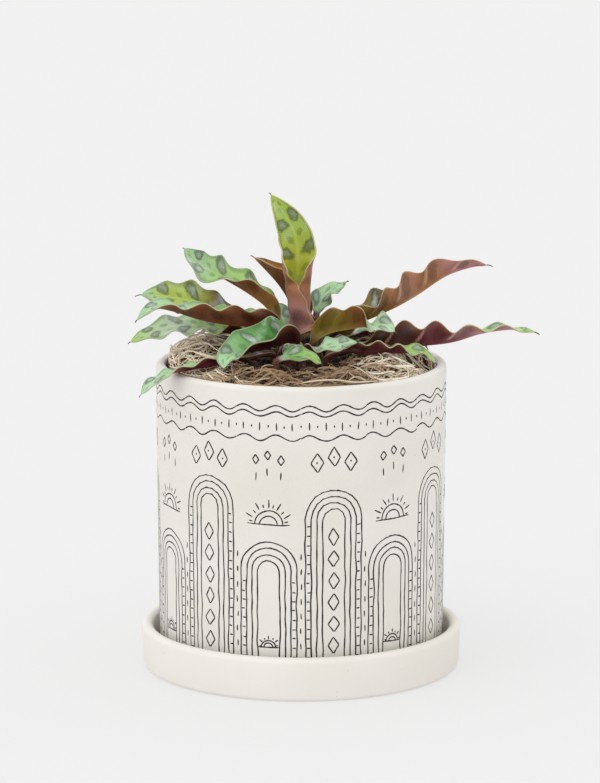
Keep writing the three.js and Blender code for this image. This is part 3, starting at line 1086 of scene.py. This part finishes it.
class Midrib:
    """A smooth curve through the midrib's points, travelled at an even pace."""

    def __init__(self, points: list[Triple], samples: int = 400) -> None:
        """Fits the curve.

        Args:
            points: The points in mm, from the stem to the tip.
            samples: Steps that its length is measured with.
        """
        through = np.array(points, float)
        before = 2 * through[0] - through[1]
        after = 2 * through[-1] - through[-2]
        self.knots = np.vstack([before, through, after])
        self.spans = len(points) - 1
        self.times = np.linspace(0, self.spans, samples + 1)
        places = np.array([self.at_time(t)[0] for t in self.times])
        steps = np.linalg.norm(np.diff(places, axis=0), axis=1)
        self.travel = np.concatenate([[0], np.cumsum(steps)])

    def at_time(self, time: float) -> tuple[np.ndarray, np.ndarray]:
        """Finds a point of the curve.

        Args:
            time: The place on the curve, which counts the points.

        Returns:
            The place and the direction there.
        """
        index = min(int(time), self.spans - 1)
        t = time - index
        a, b, c, d = self.knots[index : index + 4]
        start, end = (c - a) / 2, (d - b) / 2
        cube, square = 2 * b - 2 * c + start + end, 3 * c - 3 * b - 2 * start - end
        place = cube * t**3 + square * t**2 + start * t + b
        heading = 3 * cube * t**2 + 2 * square * t + start
        return place, heading / np.linalg.norm(heading)

    def at_share(self, share: float) -> tuple[np.ndarray, np.ndarray, float]:
        """Place, direction and distance travelled at a share of the length."""
        travelled = share * self.travel[-1]
        return *self.at_time(float(np.interp(travelled, self.travel, self.times))), travelled


@dataclass
class Leaf:
    """One leaf with its stem, grown in one piece.

    Attributes:
        name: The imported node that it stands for.
        root: Where the stem stands.
        width: Greatest half width.
        path: The midrib from the stem to the tip.
        face: The upper side's [azimuth, elevation] in degrees, from base to tip.
        fold: How far each half rises from the midrib, in degrees.
        above: Ground colours of the upper side, from base to tip.
        below: Ground colours of the underside, from base to tip.
        base: Share of the midrib that is bare stem.
        wave: Height of the waved margin.
        waves: How many waves.
        curl: How far each half goes on rolling up, in degrees.
        shift: Phase of the waves.
        slant: How far the waves lag at the midrib, in radians, as the side veins slant.
        ruffle: How much the waves widen and narrow the blade.
        thread: Length of the fine thread at the tip.
        cell: Length of the midrib that one blotch takes.
        columns: Points across the blade.
        stem_radius: Radius of the stem.
        thickness: Thickness of the blade.
        roll_skew: How much tighter a rolled leaf's right half is than its left.
        full: Exponent of the outline; lower is broader near the base.
    """

    name: str
    root: Pair
    width: float
    path: list[Triple]
    face: list[Pair]
    fold: list[float]
    above: list[Tone]
    below: list[Tone]
    base: float
    wave: float
    waves: float
    curl: list[float] = field(default_factory=lambda: [0])
    shift: float = 0.0
    slant: float = 2.6
    ruffle: float = 0.12
    thread: float = 1.2
    cell: float = 6.8
    columns: int = 16
    stem_radius: float = 1.5
    thickness: float = 0.5
    roll_skew: float = 0.08
    full: float = 0.85

    def phase(self, share: "float | np.ndarray", right: np.ndarray) -> np.ndarray:
        """The waves' phase at a share of the blade, on the right half or on the left."""
        return math.tau * self.waves * share + self.shift + np.where(right, 0, SIDE_LAG)

    def section(
        self, middle: np.ndarray, along: np.ndarray, share: float
    ) -> tuple[np.ndarray, np.ndarray, float]:
        """One cross-section of the leaf.

        Args:
            middle: The midrib's place.
            along: The midrib's direction.
            share: How far up the blade, 0 in the stem to 1 at the tip.

        Returns:
            The upper points from left to right, the lower points, and the half width.
        """
        azimuth, elevation = np.radians(eased(self.face, share))
        flat = math.cos(elevation)
        up = np.array([math.sin(azimuth) * flat, -math.cos(azimuth) * flat, math.sin(elevation)])
        up -= along * up.dot(along)
        up /= np.linalg.norm(up)
        right = np.cross(along, up)

        outline = math.sin(math.pi * share**self.full) ** 0.75 if 0 < share < 1 else 0.0
        narrowest = self.stem_radius * (1 - 0.55 * share) if share < 0.9 else 0.14
        half_width = max(self.width * outline, narrowest)
        half_thick = self.thickness / 2
        grown = min(1.0, share / FOLD_SHARE)
        fold = math.radians(float(eased(self.fold, share))) * grown
        curl = math.radians(float(eased(self.curl, share))) * grown
        rising = min(1.0, share * WAVE_RISE)

        v = np.linspace(-1, 1, self.columns + 1)
        side = np.where(v < 0, -1.0, 1.0)
        out = np.abs(v)
        phase = self.phase(share, side > 0)
        spread = half_width * (1 + self.ruffle * outline * rising * np.cos(phase))
        tightest = half_width / 0.8
        roll = np.clip(curl * (1 + self.roll_skew * side), -tightest, tightest)
        roll = np.where(np.abs(roll) < 1e-4, 1e-4, roll)
        turn = fold + roll * out
        x = spread / roll * (np.sin(turn) - math.sin(fold))
        rise = spread / roll * (math.cos(fold) - np.cos(turn))
        room = np.where(np.cos(turn) > 0, 0.8 * x / half_thick, 1.0)
        lean = np.clip(np.sin(turn), -np.abs(room), np.abs(room))
        normal = np.cos(turn)[:, None] * up - (side * lean)[:, None] * right
        normal[out == 0] = up
        place = middle + (side * x)[:, None] * right + rise[:, None] * up
        slanted = np.sin(phase + self.slant * (1 - out))
        place = place + (self.wave * outline * rising * out**1.5 * slanted)[:, None] * normal

        rib_height = self.stem_radius * 0.8 * (1 - share) ** 0.8 if share > 0 else 0.0
        rib = rib_height * np.maximum(0, 1 - out * half_width / 1.5)
        upper = place + half_thick * normal
        lower = place - (half_thick + rib)[:, None] * normal
        stem_x = (self.stem_radius * np.sin(math.pi * v / 2))[:, None] * right
        stem_z = np.maximum(self.stem_radius * np.cos(math.pi * v / 2), half_thick)[:, None] * up
        stem_share = 1 - min(1.0, share / STEM_SHARE)
        upper = upper + (middle + stem_x + stem_z - upper) * stem_share
        lower = lower + (middle + stem_x - stem_z - lower) * stem_share
        return upper, lower, half_width

    def stations(self) -> tuple[list[tuple], float]:
        """Lists where the cross-sections lie, from the stem's foot to the end of the thread.

        Returns:
            The [place, direction, share of the blade, place along, distance travelled] of
            each, and the distance at which the blade starts.
        """
        midrib = Midrib([(*self.root, STEM_TOP_Z), *self.path])
        upright = np.array([0.0, 0.0, 1.0])
        found = [
            (np.array([*self.root, z]), upright, 0.0, -1.0, 0.0)
            for z in (STEM_FOOT_Z, STEM_KNEE_Z)
        ]
        for share in np.linspace(0, self.base, 6)[1:-1]:
            place, heading, travelled = midrib.at_share(share)
            found.append((place, heading, 0.0, share / self.base - 1, travelled))
        for share in np.linspace(0, 1, int(self.waves * 9) + 15):
            place, heading, travelled = midrib.at_share(self.base + (1 - self.base) * share)
            found.append((place, heading, share, share, travelled))
        tip, heading, travelled = midrib.at_share(1)
        for reach in (0.35, 0.7, 1.0):
            sag = np.array([0, 0, -0.35 * self.thread * reach**2])
            far = tip + heading * self.thread * reach + sag
            found.append((far, heading, 1.0, 1 + reach / 5, travelled))
        return found, self.base * midrib.travel[-1]

    def rows(self) -> tuple[np.ndarray, dict[str, np.ndarray]]:
        """All cross-sections, and what the leaf's skin needs to know of each point.

        Returns:
            The points as rows by columns by 3, and the attributes of each point.
        """
        stations, start = self.stations()
        v = np.linspace(-1, 1, self.columns + 1)
        ring = np.concatenate([v, v[::-1], v[:1]])
        upper_side = np.concatenate([np.ones(len(v)), np.zeros(len(v)), np.ones(1)])
        points, widths = [], []
        for middle, heading, share, *_ in stations:
            upper, lower, half_width = self.section(middle, heading, share)
            points.append(np.vstack([upper, lower[::-1], upper[:1]]))
            widths.append([half_width])
        share, along, travelled = (np.array([[row[k]] for row in stations]) for k in (2, 3, 4))
        out = np.abs(ring)
        lateral = out * np.array(widths)
        blade = travelled - start
        phase = self.phase(share, ring > 0)
        # The wave troughs, where the skin paints a highlight on the underside
        trough = -np.sin(phase + self.slant * (1 - out)) * min(1.0, self.wave / 2.6)
        marks = {
            "across": ring,
            "along": along,
            "upper": upper_side,
            "spot": blade / self.cell + np.where(ring < 0, 0.35, 0.0) + 0.4 - 0.075 * lateral,
            "vein": (blade - 0.75 * lateral) / 1.25,
            "swell": np.sin(phase) * out * min(1.0, self.wave / 1.6),
            "crease": trough * (along > 0.04),
        }
        numbers = {
            name: np.broadcast_to(values, lateral.shape).reshape(-1)
            for name, values in marks.items()
        }
        stem_tone = Tone.PETIOLE.linear()
        on_stem = np.clip(1 - along / STEM_SHARE, 0, 1)
        for name, tones in (("tone_above", self.above), ("tone_below", self.below)):
            keys = [tone.linear() for tone in tones]
            ground = np.array([eased(keys, place) for place in share[:, 0]])
            tints = ground + (stem_tone - ground) * on_stem
            numbers[name] = np.repeat(tints, len(ring), axis=0)
        return np.array(points), numbers

    def build(self, skin: bpy.types.Material) -> Piece:
        """Lays a grid over the cross-sections, joins its seam and dresses it.

        Args:
            skin: The leaf's material.

        Returns:
            The piece.
        """
        points, numbers = self.rows()
        rows, columns = points.shape[:2]
        deselect()
        bpy.ops.mesh.primitive_grid_add(
            x_subdivisions=columns - 1, y_subdivisions=rows - 1, size=2, location=(0, 0, 0)
        )
        piece = bpy.context.object
        flat = np.array([tuple(v.co) for v in piece.data.vertices])
        column = np.rint((flat[:, 0] + 1) / 2 * (columns - 1)).astype(int)
        row = np.rint((flat[:, 1] + 1) / 2 * (rows - 1)).astype(int)
        order = row * columns + column
        piece.data.vertices.foreach_set("co", (points.reshape(-1, 3)[order] * MM).ravel())
        write_numbers(piece, {name: values[order] for name, values in numbers.items()})
        with editing():
            clean_shell()
        smooth(60)
        return finish_piece(piece, f"{self.name}_blade", skin, self.name)


def plant_leaves() -> list[Leaf]:
    """Lists every leaf of the plant.

    Returns:
        The leaves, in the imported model's order.
    """
    fresh, mint, frost, lime = Tone.FRESH, Tone.MINT, Tone.FROST, Tone.LIME
    yellow, deep, olive, maroon = Tone.YELLOW, Tone.DEEP, Tone.OLIVE, Tone.MAROON
    wine, plum, rose, brown = Tone.WINE, Tone.PLUM, Tone.ROSE, Tone.BROWN
    rust, amber, clay = Tone.RUST, Tone.AMBER, Tone.CLAY
    return [
        Leaf(
            "leaf_upright_rolled", (-4.2, 1), 17,
            [(-4.4, 2, 145), (-3.8, 4.8, 158), (-2.2, 6.6, 170), (-1.4, 5.5, 180),
             (-3.8, 2.5, 194), (-13, -3, 209)],
            [(90, 4), (90, 2), (39, 4), (14, 0), (3, 0), (8, 3), (0, 8), (-5, 14), (-10, 20)],
            [10, 5, 0, 0, 3, 8, 12, 18, 25],
            [yellow, yellow, yellow, lime, lime], [plum, rose, rust, rose, rust, yellow],
            0.03, 0.3, 4, [60, 128, 190, 180, 138, 92, 62, 42, 20], 1,
            ruffle=0, columns=32, cell=8.2, thread=2, full=0.66,
        ),
        Leaf(
            "leaf_folded_back", (-3, 11.5), 9,
            [(-2, 12.5, 146), (-3, 14.5, 156), (-9, 15.5, 166.5), (-20.5, 15, 178.6)],
            [(150, 50), (85, 44), (66, 40)], [60, 62, 58], [amber], [maroon, brown, rust],
            0.15, 0.8, 3, thread=2.5,
        ),
        Leaf(
            "leaf_high_left", (-9, 8), 9.4,
            [(-8.5, 8, 147.5), (-13, 8.5, 156.5), (-20, 10, 162.5), (-31, 11, 169),
             (-42, 9, 175), (-51, 6, 184)],
            [(180, 70), (180, 80), (0, 84), (0, 48), (0, 32)], [60, 52, 32, 12, 8],
            [fresh, fresh, mint], [olive, rust, brown, brown],
            0.15, 1.8, 4.5, shift=0.5, full=1.12,
        ),
        Leaf(
            "leaf_long_left", (-10, 11), 8.9,
            [(-7, 12, 144), (-17, 15, 149), (-32, 18, 153.5), (-47, 17, 158.5),
             (-60, 14, 161.5), (-70, 10, 163)],
            [(0, 75), (0, 62), (0, 50), (0, 42), (0, 38)], [35, 22, 15, 10],
            [olive, olive, lime, lime, mint], [maroon, brown],
            0.38, 1.7, 4, thread=3, full=1,
        ),
        Leaf(
            "leaf_middle_left", (-9, -1), 8.2,
            [(-6, -3, 147), (-14, -6, 153), (-27, -10, 153.5), (-42, -12, 156),
             (-56, -12, 160), (-65, -13, 161), (-71, -14, 156)],
            [(180, 75), (180, 76), (180, 78), (180, 82), (180, 88), (0, 74), (0, 55)],
            [58, 56, 50, 32, 8], [fresh, mint], [maroon, brown, brown, rust], 0.12, 2, 5,
        ),
        Leaf(
            "leaf_low_left", (-14, 3), 7.8,
            [(-17, 0, 146), (-31, -2.5, 149), (-46, -4.5, 152), (-61, -8, 150.8),
             (-74, -12, 146)],
            [(180, 80), (0, 65), (0, 50)], [34, 11, 5],
            [yellow, fresh, frost, fresh], [maroon, wine], 0.15, 1.9, 4.5,
        ),
        Leaf(
            "leaf_front_left", (0.5, -9), 12,
            [(-1, -11, 144.5), (-7, -15.5, 146.2), (-16, -22, 145.4), (-25, -28, 144.4),
             (-32, -33.5, 143), (-33, -37.5, 139)],
            [(0, 76), (0, 74), (-10, 70), (-20, 42)], [60, 58, 34, 10],
            [deep, deep, mint], [maroon], 0.12, 2, 2.4, shift=2.6, full=0.75,
        ),
        Leaf(
            "leaf_over_rim_left", (-12, -8), 5.2,
            [(-14, -12, 141), (-24, -18, 140), (-38, -27, 139), (-50, -34, 137.8),
             (-58, -38, 136.5), (-64.5, -41, 133), (-68.5, -42, 128.5)],
            [(180, 62), (180, 62), (180, 64), (180, 68), (180, 74), (190, 80), (270, 82),
             (330, 35), (350, 8)],
            [30, 30, 22, 5, 5], [fresh, mint], [maroon, wine, wine, mint],
            0.2, 1.1, 4.5, full=1.25,
        ),
        Leaf(
            "leaf_front_small", (-1, -14), 5.5, [(3, -18, 143.5), (13, -23, 146), (24, -28, 148.5)],
            [(180, 60), (0, 60), (0, 50)], [12], [mint], [wine], 0.15, 1, 2.5,
        ),
        Leaf(
            "leaf_front_arched", (-11, -32), 5.5,
            [(-10.7, -32.3, 141), (-7.5, -33, 142.7), (-1.5, -32.6, 143.4), (4, -31.5, 142.3),
             (8.5, -30, 139.8)],
            [(0, 60), (0, 68), (0, 55)], [18], [deep, fresh], [wine], 0.2, 0.6, 2,
        ),
        Leaf(
            "leaf_back_right_small", (5, 13), 5.4,
            [(6.2, 16.5, 150), (8, 19.5, 157), (12.6, 22.5, 162.5), (20, 24, 166.5)],
            [(0, 40), (0, 70), (0, 70)], [20], [mint], [olive], 0.42, 1, 2.5, [0, 0, -90],
        ),
        Leaf(
            "leaf_high_right", (8, 7), 10.3,
            [(10, 8, 144.5), (19, 10, 149), (35, 12, 155), (49, 13, 162), (63, 13, 171),
             (74, 12, 175), (81, 11, 176)],
            [(0, 82), (0, 84), (180, 70), (180, 60), (180, 55)], [54, 52, 48, 44, 30],
            [olive, olive, clay], [olive, olive, rust, clay, rust, rose, rose],
            0.14, 2.6, 5.2, shift=1.5, thread=3, ruffle=0.22,
        ),
        Leaf(
            "leaf_middle_right", (5.5, -1), 10.5,
            [(5.3, -2, 144), (11, -2.2, 148.5), (21, -2, 150.5), (30, -3.5, 152),
             (36, -6.5, 152), (40.5, -9.5, 150)],
            [(180, 55), (180, 50), (180, 45), (180, 55), (0, 60), (0, 45)], [40, 25, 10],
            [olive, mint], [olive, olive, rust, rust], 0.1, 1.6, 3.5, shift=0.6,
        ),
        Leaf(
            "leaf_long_right", (12, 0), 9.8,
            [(19, 0, 143), (34, -1, 142), (48, -2, 143), (65, -4, 145), (78, -6, 149),
             (91, -8, 151), (101, -10, 150)],
            [(180, 65), (180, 60), (180, 68), (180, 88), (0, 72)], [55, 45, 20, 8],
            [fresh], [maroon, maroon, wine, rose, rose],
            0.15, 2.6, 5.5, shift=3.6, thread=2.5, ruffle=0.22, full=0.68,
        ),
        Leaf(
            "leaf_low_right", (11, -9), 5.8,
            [(19, -11, 142), (28, -13, 141.5), (43, -14, 142), (53, -15, 141.5), (58, -17, 137.8)],
            [(180, 60), (180, 60), (180, 75), (0, 70), (60, 60)], [35, 30, 25, 10],
            [fresh], [maroon, wine], 0.15, 1.5, 4.5, shift=2.6, ruffle=0.15,
        ),
        Leaf(
            "leaf_back_small", (-5, 14), 5.8, [(-7, 19, 148), (-9.3, 23, 152), (-12.5, 27, 156.3)],
            [(0, 40)], [15], [mint], [wine], 0.3, 1, 2.5,
        ),
        Leaf(
            "leaf_back_left_small", (-12, 16), 5,
            [(-15, 23, 147), (-22, 29, 149), (-27, 35, 148.5)],
            [(0, 60)], [15], [mint], [wine], 0.3, 1, 2.5,
        ),
        Leaf(
            "leaf_front_tiny", (-5.5, -21), 3.5, [(-5, -23, 143.5), (-7.5, -25.5, 147)],
            [(0, 15)], [10], [mint], [maroon], 0.3, 0.6, 2,
        ),
        Leaf(
            "leaf_back", (-3, 21), 8,
            [(-3, 27, 144.5), (-4, 40, 147.5), (-5, 54, 147.5), (-5, 68, 145), (-4, 81, 138)],
            [(0, 60), (0, 80), (0, 80)], [35, 15, 10], [fresh, mint], [maroon, wine], 0.2, 1.8, 4,
        ),
        Leaf(
            "leaf_back_right", (12, 15), 7,
            [(19, 22, 142.5), (31, 33, 142.5), (42, 44, 140.5), (51, 53, 137.5), (57, 61, 130)],
            [(0, 85)], [30, 15, 10], [deep, deep, fresh], [wine], 0.2, 1.5, 4,
        ),
        Leaf(
            "leaf_back_left", (-16, 11), 7.5,
            [(-23, 20, 143), (-31, 29, 143), (-37, 37, 142.5), (-41.5, 43.5, 141.5),
             (-44, 48, 139.5)],
            [(0, 85)], [30, 15, 10], [fresh, mint], [maroon, wine], 0.2, 1.6, 4,
        ),
        Leaf(
            "leaf_back_low", (5, 18), 7,
            [(10, 27, 142.5), (17, 41, 142), (24, 53, 140.5), (29, 62, 137), (33, 70, 131)],
            [(0, 70), (0, 55), (0, 85)], [30, 15, 10], [deep, fresh], [wine], 0.2, 1.5, 4,
        ),
    ]


# Moss


def hills(ground: np.ndarray, x: np.ndarray, y: np.ndarray, tops: tuple) -> np.ndarray:
    """Raises soft round hills.

    Args:
        ground: Heights without them.
        x: Places to the right, in mm.
        y: Places to the back.
        tops: [x, y, rise, spread] of each hill.

    Returns:
        The heights.
    """
    for at_x, at_y, rise, spread in tops:
        ground = ground + rise * np.exp(-((x - at_x) ** 2 + (y - at_y) ** 2) / (2 * spread**2))
    return ground


@dataclass(frozen=True)
class FibreLayer:
    """One layer of moss fibres; ranges are lowest and highest.

    Attributes:
        name: The piece's name.
        count: How many fibres.
        length: Range of their lengths.
        lift: Range of their heights over the mat.
        thick: Range of their radii.
        tone: Range of their tones, 0 dark to 1 pale.
        bend: How strongly they turn.
        over_lip: Whether they may lie on the planter's lip.
        seed: Seed of the layer's random numbers.
    """

    name: str
    count: int
    length: Pair
    lift: Pair
    thick: Pair
    tone: Pair
    bend: float
    over_lip: bool
    seed: int


@dataclass
class Moss:
    """Dried moss: a dark lumpy mat, and curly fibres over it.

    Attributes:
        centre_z: Height of the moss in the middle.
        edge_drop: How far it falls off towards the wall.
        swellings: [x, y, rise, spread] of the mat's hills and hollows.
        tufts: The same for what the loose fibres stand up beside.
        shades: [x, y, half width, half depth, gloom] where the fibres are darker, mostly
        painted shade in the hollow and under the leaves, or paler where gloom is below 0.
        lumps: Height of the small lumps.
        radius: Radius of the mat.
        mat_drop: How far the mat lies under the moss's height.
        rings: Rings of the mat's top.
        sides: Sides round.
        stations: Points along a fibre.
        layers: The layers of fibres.
    """

    centre_z: float = 137.5
    edge_drop: float = 4.5
    swellings: tuple[tuple[float, ...], ...] = (
        (-44, 4, 7, 11), (36, -2, 6, 10), (56, -4, -12, 9), (2, -16, -6, 14),
    )
    tufts: tuple[tuple[float, ...], ...] = ((-34, 37, 6, 9), (20, 42, 6, 12))
    shades: tuple[tuple[float, ...], ...] = (
        (-16, -7, 17, 17, 1.35), (9, -8, 13, 10, 0.8), (6, -46, 20, 13, 0.38),
        (46, -6, 16, 28, -0.5), (-48, 2, 12, 28, -1.5), (17, 28, 19, 14, 1.1),
    )
    lumps: float = 1.4
    radius: float = 58.5
    mat_drop: float = 2.2
    rings: int = 40
    sides: int = 128
    stations: int = 20
    layers: tuple[FibreLayer, ...] = (
        FibreLayer(
            "moss_fibres_deep", 800, (16, 38), (0.1, 1.6), (0.2, 0.32), (0.0, 0.3), 1.6, False, 6
        ),
        FibreLayer(
            "moss_fibres_top", 520, (18, 46), (0.9, 5.2), (0.18, 0.36), (0.2, 0.95), 2.3, False, 7
        ),
        FibreLayer(
            "moss_fibres_long", 190, (30, 66), (2.4, 7.2), (0.26, 0.44), (0.55, 1.0), 2.0, True, 8
        ),
    )

    def top(self, x: np.ndarray, y: np.ndarray) -> np.ndarray:
        """The height of the moss.

        Args:
            x: Places to the right, in mm.
            y: Places to the back.

        Returns:
            The heights there.
        """
        far = np.hypot(x, y) / (LIP_RADIUS + LIP_HALF)
        ground = self.centre_z - self.edge_drop * far**3
        lumpy = self.lumps * np.sin(0.31 * x + 1.3) * np.sin(0.27 * y + 0.4)
        return hills(ground, x, y, self.swellings) + lumpy

    def build_mat(self) -> Piece:
        """Raises a disc ring by ring and lays its top to the moss's height.

        Returns:
            The piece.
        """
        bottom, level = SOIL_TOP_Z + 0.3, 130.0
        profile = [(self.radius, bottom), (self.radius, level)]
        profile += [(self.radius * (1 - i / self.rings), level) for i in range(1, self.rings)]
        piece = turned_piece(profile, self.sides)
        mesh = piece.data
        places = np.empty(len(mesh.vertices) * 3)
        mesh.vertices.foreach_get("co", places)
        places = places.reshape(-1, 3)
        high = places[:, 2] > (bottom + 1) * MM
        x, y = places[high, 0] / MM, places[high, 1] / MM
        rough = [noise.fractal(Vector((a * 0.22, b * 0.22, 3)), 0.8, 2.0, 4) for a, b in zip(x, y)]
        places[high, 2] = (self.top(x, y) - self.mat_drop + 1.5 * np.array(rough)) * MM
        mesh.vertices.foreach_set("co", places.ravel())
        smooth(60)
        return finish_piece(piece, "moss_mat", MossShade().material(), "moss")

    def wander(
        self, layer: FibreLayer, rng: np.random.RandomState
    ) -> tuple[np.ndarray, np.ndarray]:
        """Draws a layer's curly lines as seen from above.

        Args:
            layer: The layer.
            rng: Its random numbers.

        Returns:
            Places to the right and to the back, as fibres by stations.
        """
        count = layer.count
        share = np.linspace(0, 1, self.stations)

        def pick(low: float, high: float) -> np.ndarray:
            """One random number for each fibre, as a column."""
            return rng.uniform(low, high, count)[:, None]

        ring = self.radius * np.sqrt(pick(0.08, 1))
        turn = pick(0, math.tau)
        bend = rng.normal(0, layer.bend, count)[:, None] * share
        ripple = pick(0.4, 1.6) * np.sin(math.tau * (share * pick(0.5, 2.0) + pick(0, 1)))
        heading = pick(0, math.tau) + bend + ripple
        step = pick(*layer.length) / (self.stations - 1)
        x, y = (np.cumsum(part(heading) * step, axis=1) for part in (np.cos, np.sin))
        x += ring * np.cos(turn) - x.mean(axis=1, keepdims=True)
        y += ring * np.sin(turn) - y.mean(axis=1, keepdims=True)
        limit = self.radius - 0.4 - pick(0, 1.2)
        if layer.over_lip:
            limit = limit + np.where(y < -36, 3.2, 0.0)
        squeeze = np.minimum(1, limit / np.maximum(np.hypot(x, y), 1e-6))
        return x * squeeze, y * squeeze

    def build_fibres(self, layer: FibreLayer, leaves: BVHTree) -> Piece:
        """Scatters one layer of fibres over the mat, tucked under the leaves.

        Args:
            layer: The layer.
            leaves: The leaves that the fibres keep below.

        Returns:
            The piece.
        """
        rng = np.random.RandomState(layer.seed)
        count = layer.count
        share = np.linspace(0, 1, self.stations)
        x, y = self.wander(layer, rng)
        low = rng.uniform(layer.lift[0], layer.lift[1] * 0.5, count)[:, None]
        hops = rng.randint(1, 4, count)[:, None]
        start = rng.uniform(0, 1, count)[:, None]
        arch = rng.uniform(0, layer.lift[1], count)[:, None]
        arch = arch * np.sin(math.pi * (share * hops + start)) ** 2
        height = self.top(x, y) - self.mat_drop + low + arch * 0.7
        tufts = hills(np.zeros_like(x), x, y, self.tufts)
        height += tufts * rng.uniform(0.3, 1.0, count)[:, None]
        height = self.tuck(x, y, height, leaves)
        if layer.over_lip:
            height = np.maximum(height, self.lip(np.hypot(x, y)))
        paths = np.stack([x, y, height], axis=-1)
        ups = np.zeros_like(paths)
        ups[..., 2] = 1
        taper = np.clip(np.minimum(share, 1 - share) * 8, 0.35, 1)
        thickness = rng.uniform(*layer.thick, count)[:, None] * taper
        piece = strands_piece(paths, ups, thickness, thickness, 3)
        tones = rng.uniform(*layer.tone, count)
        # Painted shade: darkens the fibres' tones in the hollow and under the leaves; a gloom below
        # 0 makes them paler
        for at_x, at_y, wide, deep, gloom in self.shades:
            aside, behind = (x.mean(axis=1) - at_x) / wide, (y.mean(axis=1) - at_y) / deep
            strength = gloom if gloom > 0 else layer.tone[1] * gloom
            tones -= strength * np.exp(-(aside**2 + behind**2) / 2)
        write_numbers(piece, {"tone": np.repeat(tones, len(piece.data.vertices) // count)})
        return finish_piece(piece, layer.name, MossFibre().material(), "moss")

    @staticmethod
    def lip(far: np.ndarray) -> np.ndarray:
        """The lowest height at which a fibre clears the planter's lip.

        Args:
            far: Distances from the middle.

        Returns:
            The heights, 0 inside the lip.
        """
        crown = np.sqrt(np.maximum(0, LIP_HALF**2 - (far - LIP_RADIUS) ** 2))
        return np.where(far > LIP_RADIUS - LIP_HALF - 0.3, POT_RIM_Z - LIP_HALF + crown + 0.4, 0)

    def tuck(
        self, x: np.ndarray, y: np.ndarray, height: np.ndarray, leaves: BVHTree
    ) -> np.ndarray:
        """Presses fibres down where a leaf lies over them.

        Args:
            x: Places to the right.
            y: Places to the back.
            height: Heights of the fibres.
            leaves: The leaves.

        Returns:
            The heights, lowered under the leaves and eased along each fibre.
        """
        upwards = Vector((0, 0, 1))
        floor = self.top(x, y) - self.mat_drop - 1.2
        ceiling = np.full(height.shape, 1e3)
        for index in np.ndindex(height.shape):
            start = Vector((x[index] * MM, y[index] * MM, floor[index] * MM))
            hit = leaves.ray_cast(start, upwards, 0.02)[0]
            if hit is not None:
                ceiling[index] = hit.z / MM - 0.7
        for _ in range(3):
            height = np.maximum(np.minimum(height, ceiling), floor)
            height[:, 1:-1] = (height[:, :-2] + 2 * height[:, 1:-1] + height[:, 2:]) / 4
        return np.maximum(np.minimum(height, ceiling), floor)


def leaf_tree(pieces: list[Piece]) -> BVHTree:
    """Gathers the leaves' faces for ray casts.

    Args:
        pieces: The leaves' pieces.

    Returns:
        The tree.
    """
    points, faces = [], []
    for piece in pieces:
        first = len(points)
        points += [tuple(v.co) for v in piece.data.vertices]
        faces += [[i + first for i in face.vertices] for face in piece.data.polygons]
    return BVHTree.FromPolygons(points, faces)


# Studio


@dataclass
class Studio:
    """The camera, the pale floor and soft light.

    Attributes:
        camera_place: Where the camera stands, in metres.
        camera_pitch: How far it looks down, in degrees.
        lens: Its focal length.
        shift_x: Its shift to the side.
        sky: Brightness of the sky.
        lamp_strength: Strength of the lamp in watts on a square metre.
        lamp_turn: Its rotation in degrees.
        lamp_width: How wide it looks, in degrees.
        lamp_colour: Its colour.
    """

    camera_place: Triple = (0.0, -1.7, 0.45)
    camera_pitch: float = 10.93
    lens: float = 181.8
    shift_x: float = -0.0015
    sky: float = 1.075
    lamp_strength: float = 0.46
    lamp_turn: Triple = (48, 0, -34)
    lamp_width: float = 70
    lamp_colour: Triple = (1.0, 0.985, 0.96)

    def build(self) -> None:
        """Sets up the camera, the floor, the sky and the lamp."""
        scene = bpy.context.scene
        scene.view_settings.view_transform = "Standard"
        scene.view_settings.look = "None"
        scene.camera = self.camera()
        self.floor()
        world = bpy.data.worlds.new("soft_sky")
        world.use_nodes = True
        background = world.node_tree.nodes["Background"]
        background.inputs["Color"].default_value = (self.sky, self.sky, self.sky, 1)
        background.inputs["Strength"].default_value = 1.0
        scene.world = world
        self.lamp()

    @staticmethod
    def hang(name: str, data: bpy.types.ID, turn: Triple) -> Piece:
        """Adds a camera or a lamp to the scene.

        Args:
            name: Its name.
            data: Its settings.
            turn: Its rotation in degrees.

        Returns:
            The camera or the lamp.
        """
        made = bpy.data.objects.new(name, data)
        made.rotation_euler = tuple(math.radians(part) for part in turn)
        bpy.context.scene.collection.objects.link(made)
        return made

    def camera(self) -> Piece:
        """Places the camera.

        Returns:
            The camera.
        """
        data = bpy.data.cameras.new("view")
        data.lens = self.lens
        data.sensor_width = 36
        data.shift_x = self.shift_x
        data.clip_start, data.clip_end = 0.05, 60
        view = self.hang("view", data, (90 - self.camera_pitch, 0, 0))
        view.location = self.camera_place
        return view

    def floor(self) -> None:
        """Lays the floor."""
        deselect()
        bpy.ops.mesh.primitive_plane_add(size=40, location=(0, 0, 0))
        floor = bpy.context.object
        floor.name = "studio_floor"
        floor.data.materials.append(PaleBackdrop().material())

    def lamp(self) -> None:
        """Hangs one far, soft lamp."""
        data = bpy.data.lights.new("window_light", "SUN")
        data.energy = self.lamp_strength
        data.angle = math.radians(self.lamp_width)
        data.color = self.lamp_colour
        self.hang("window_light", data, self.lamp_turn)


def main() -> None:
    """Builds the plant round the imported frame."""
    logging.basicConfig(level=logging.INFO, format="%(message)s")
    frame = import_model()
    Studio().build()

    planter = Planter()
    Saucer().build()
    planter.build()
    Decoration(planter).build()

    soil = frame["nodes"]["soil"]
    soil.data.materials.clear()
    soil.data.materials.append(PottingSoil().material())

    skin = RattlesnakeLeaf().material()
    leaves = leaf_tree([leaf.build(skin) for leaf in plant_leaves()])
    moss = Moss()
    moss.build_mat()
    for layer in moss.layers:
        moss.build_fibres(layer, leaves)


if __name__ == "__main__":
    main()
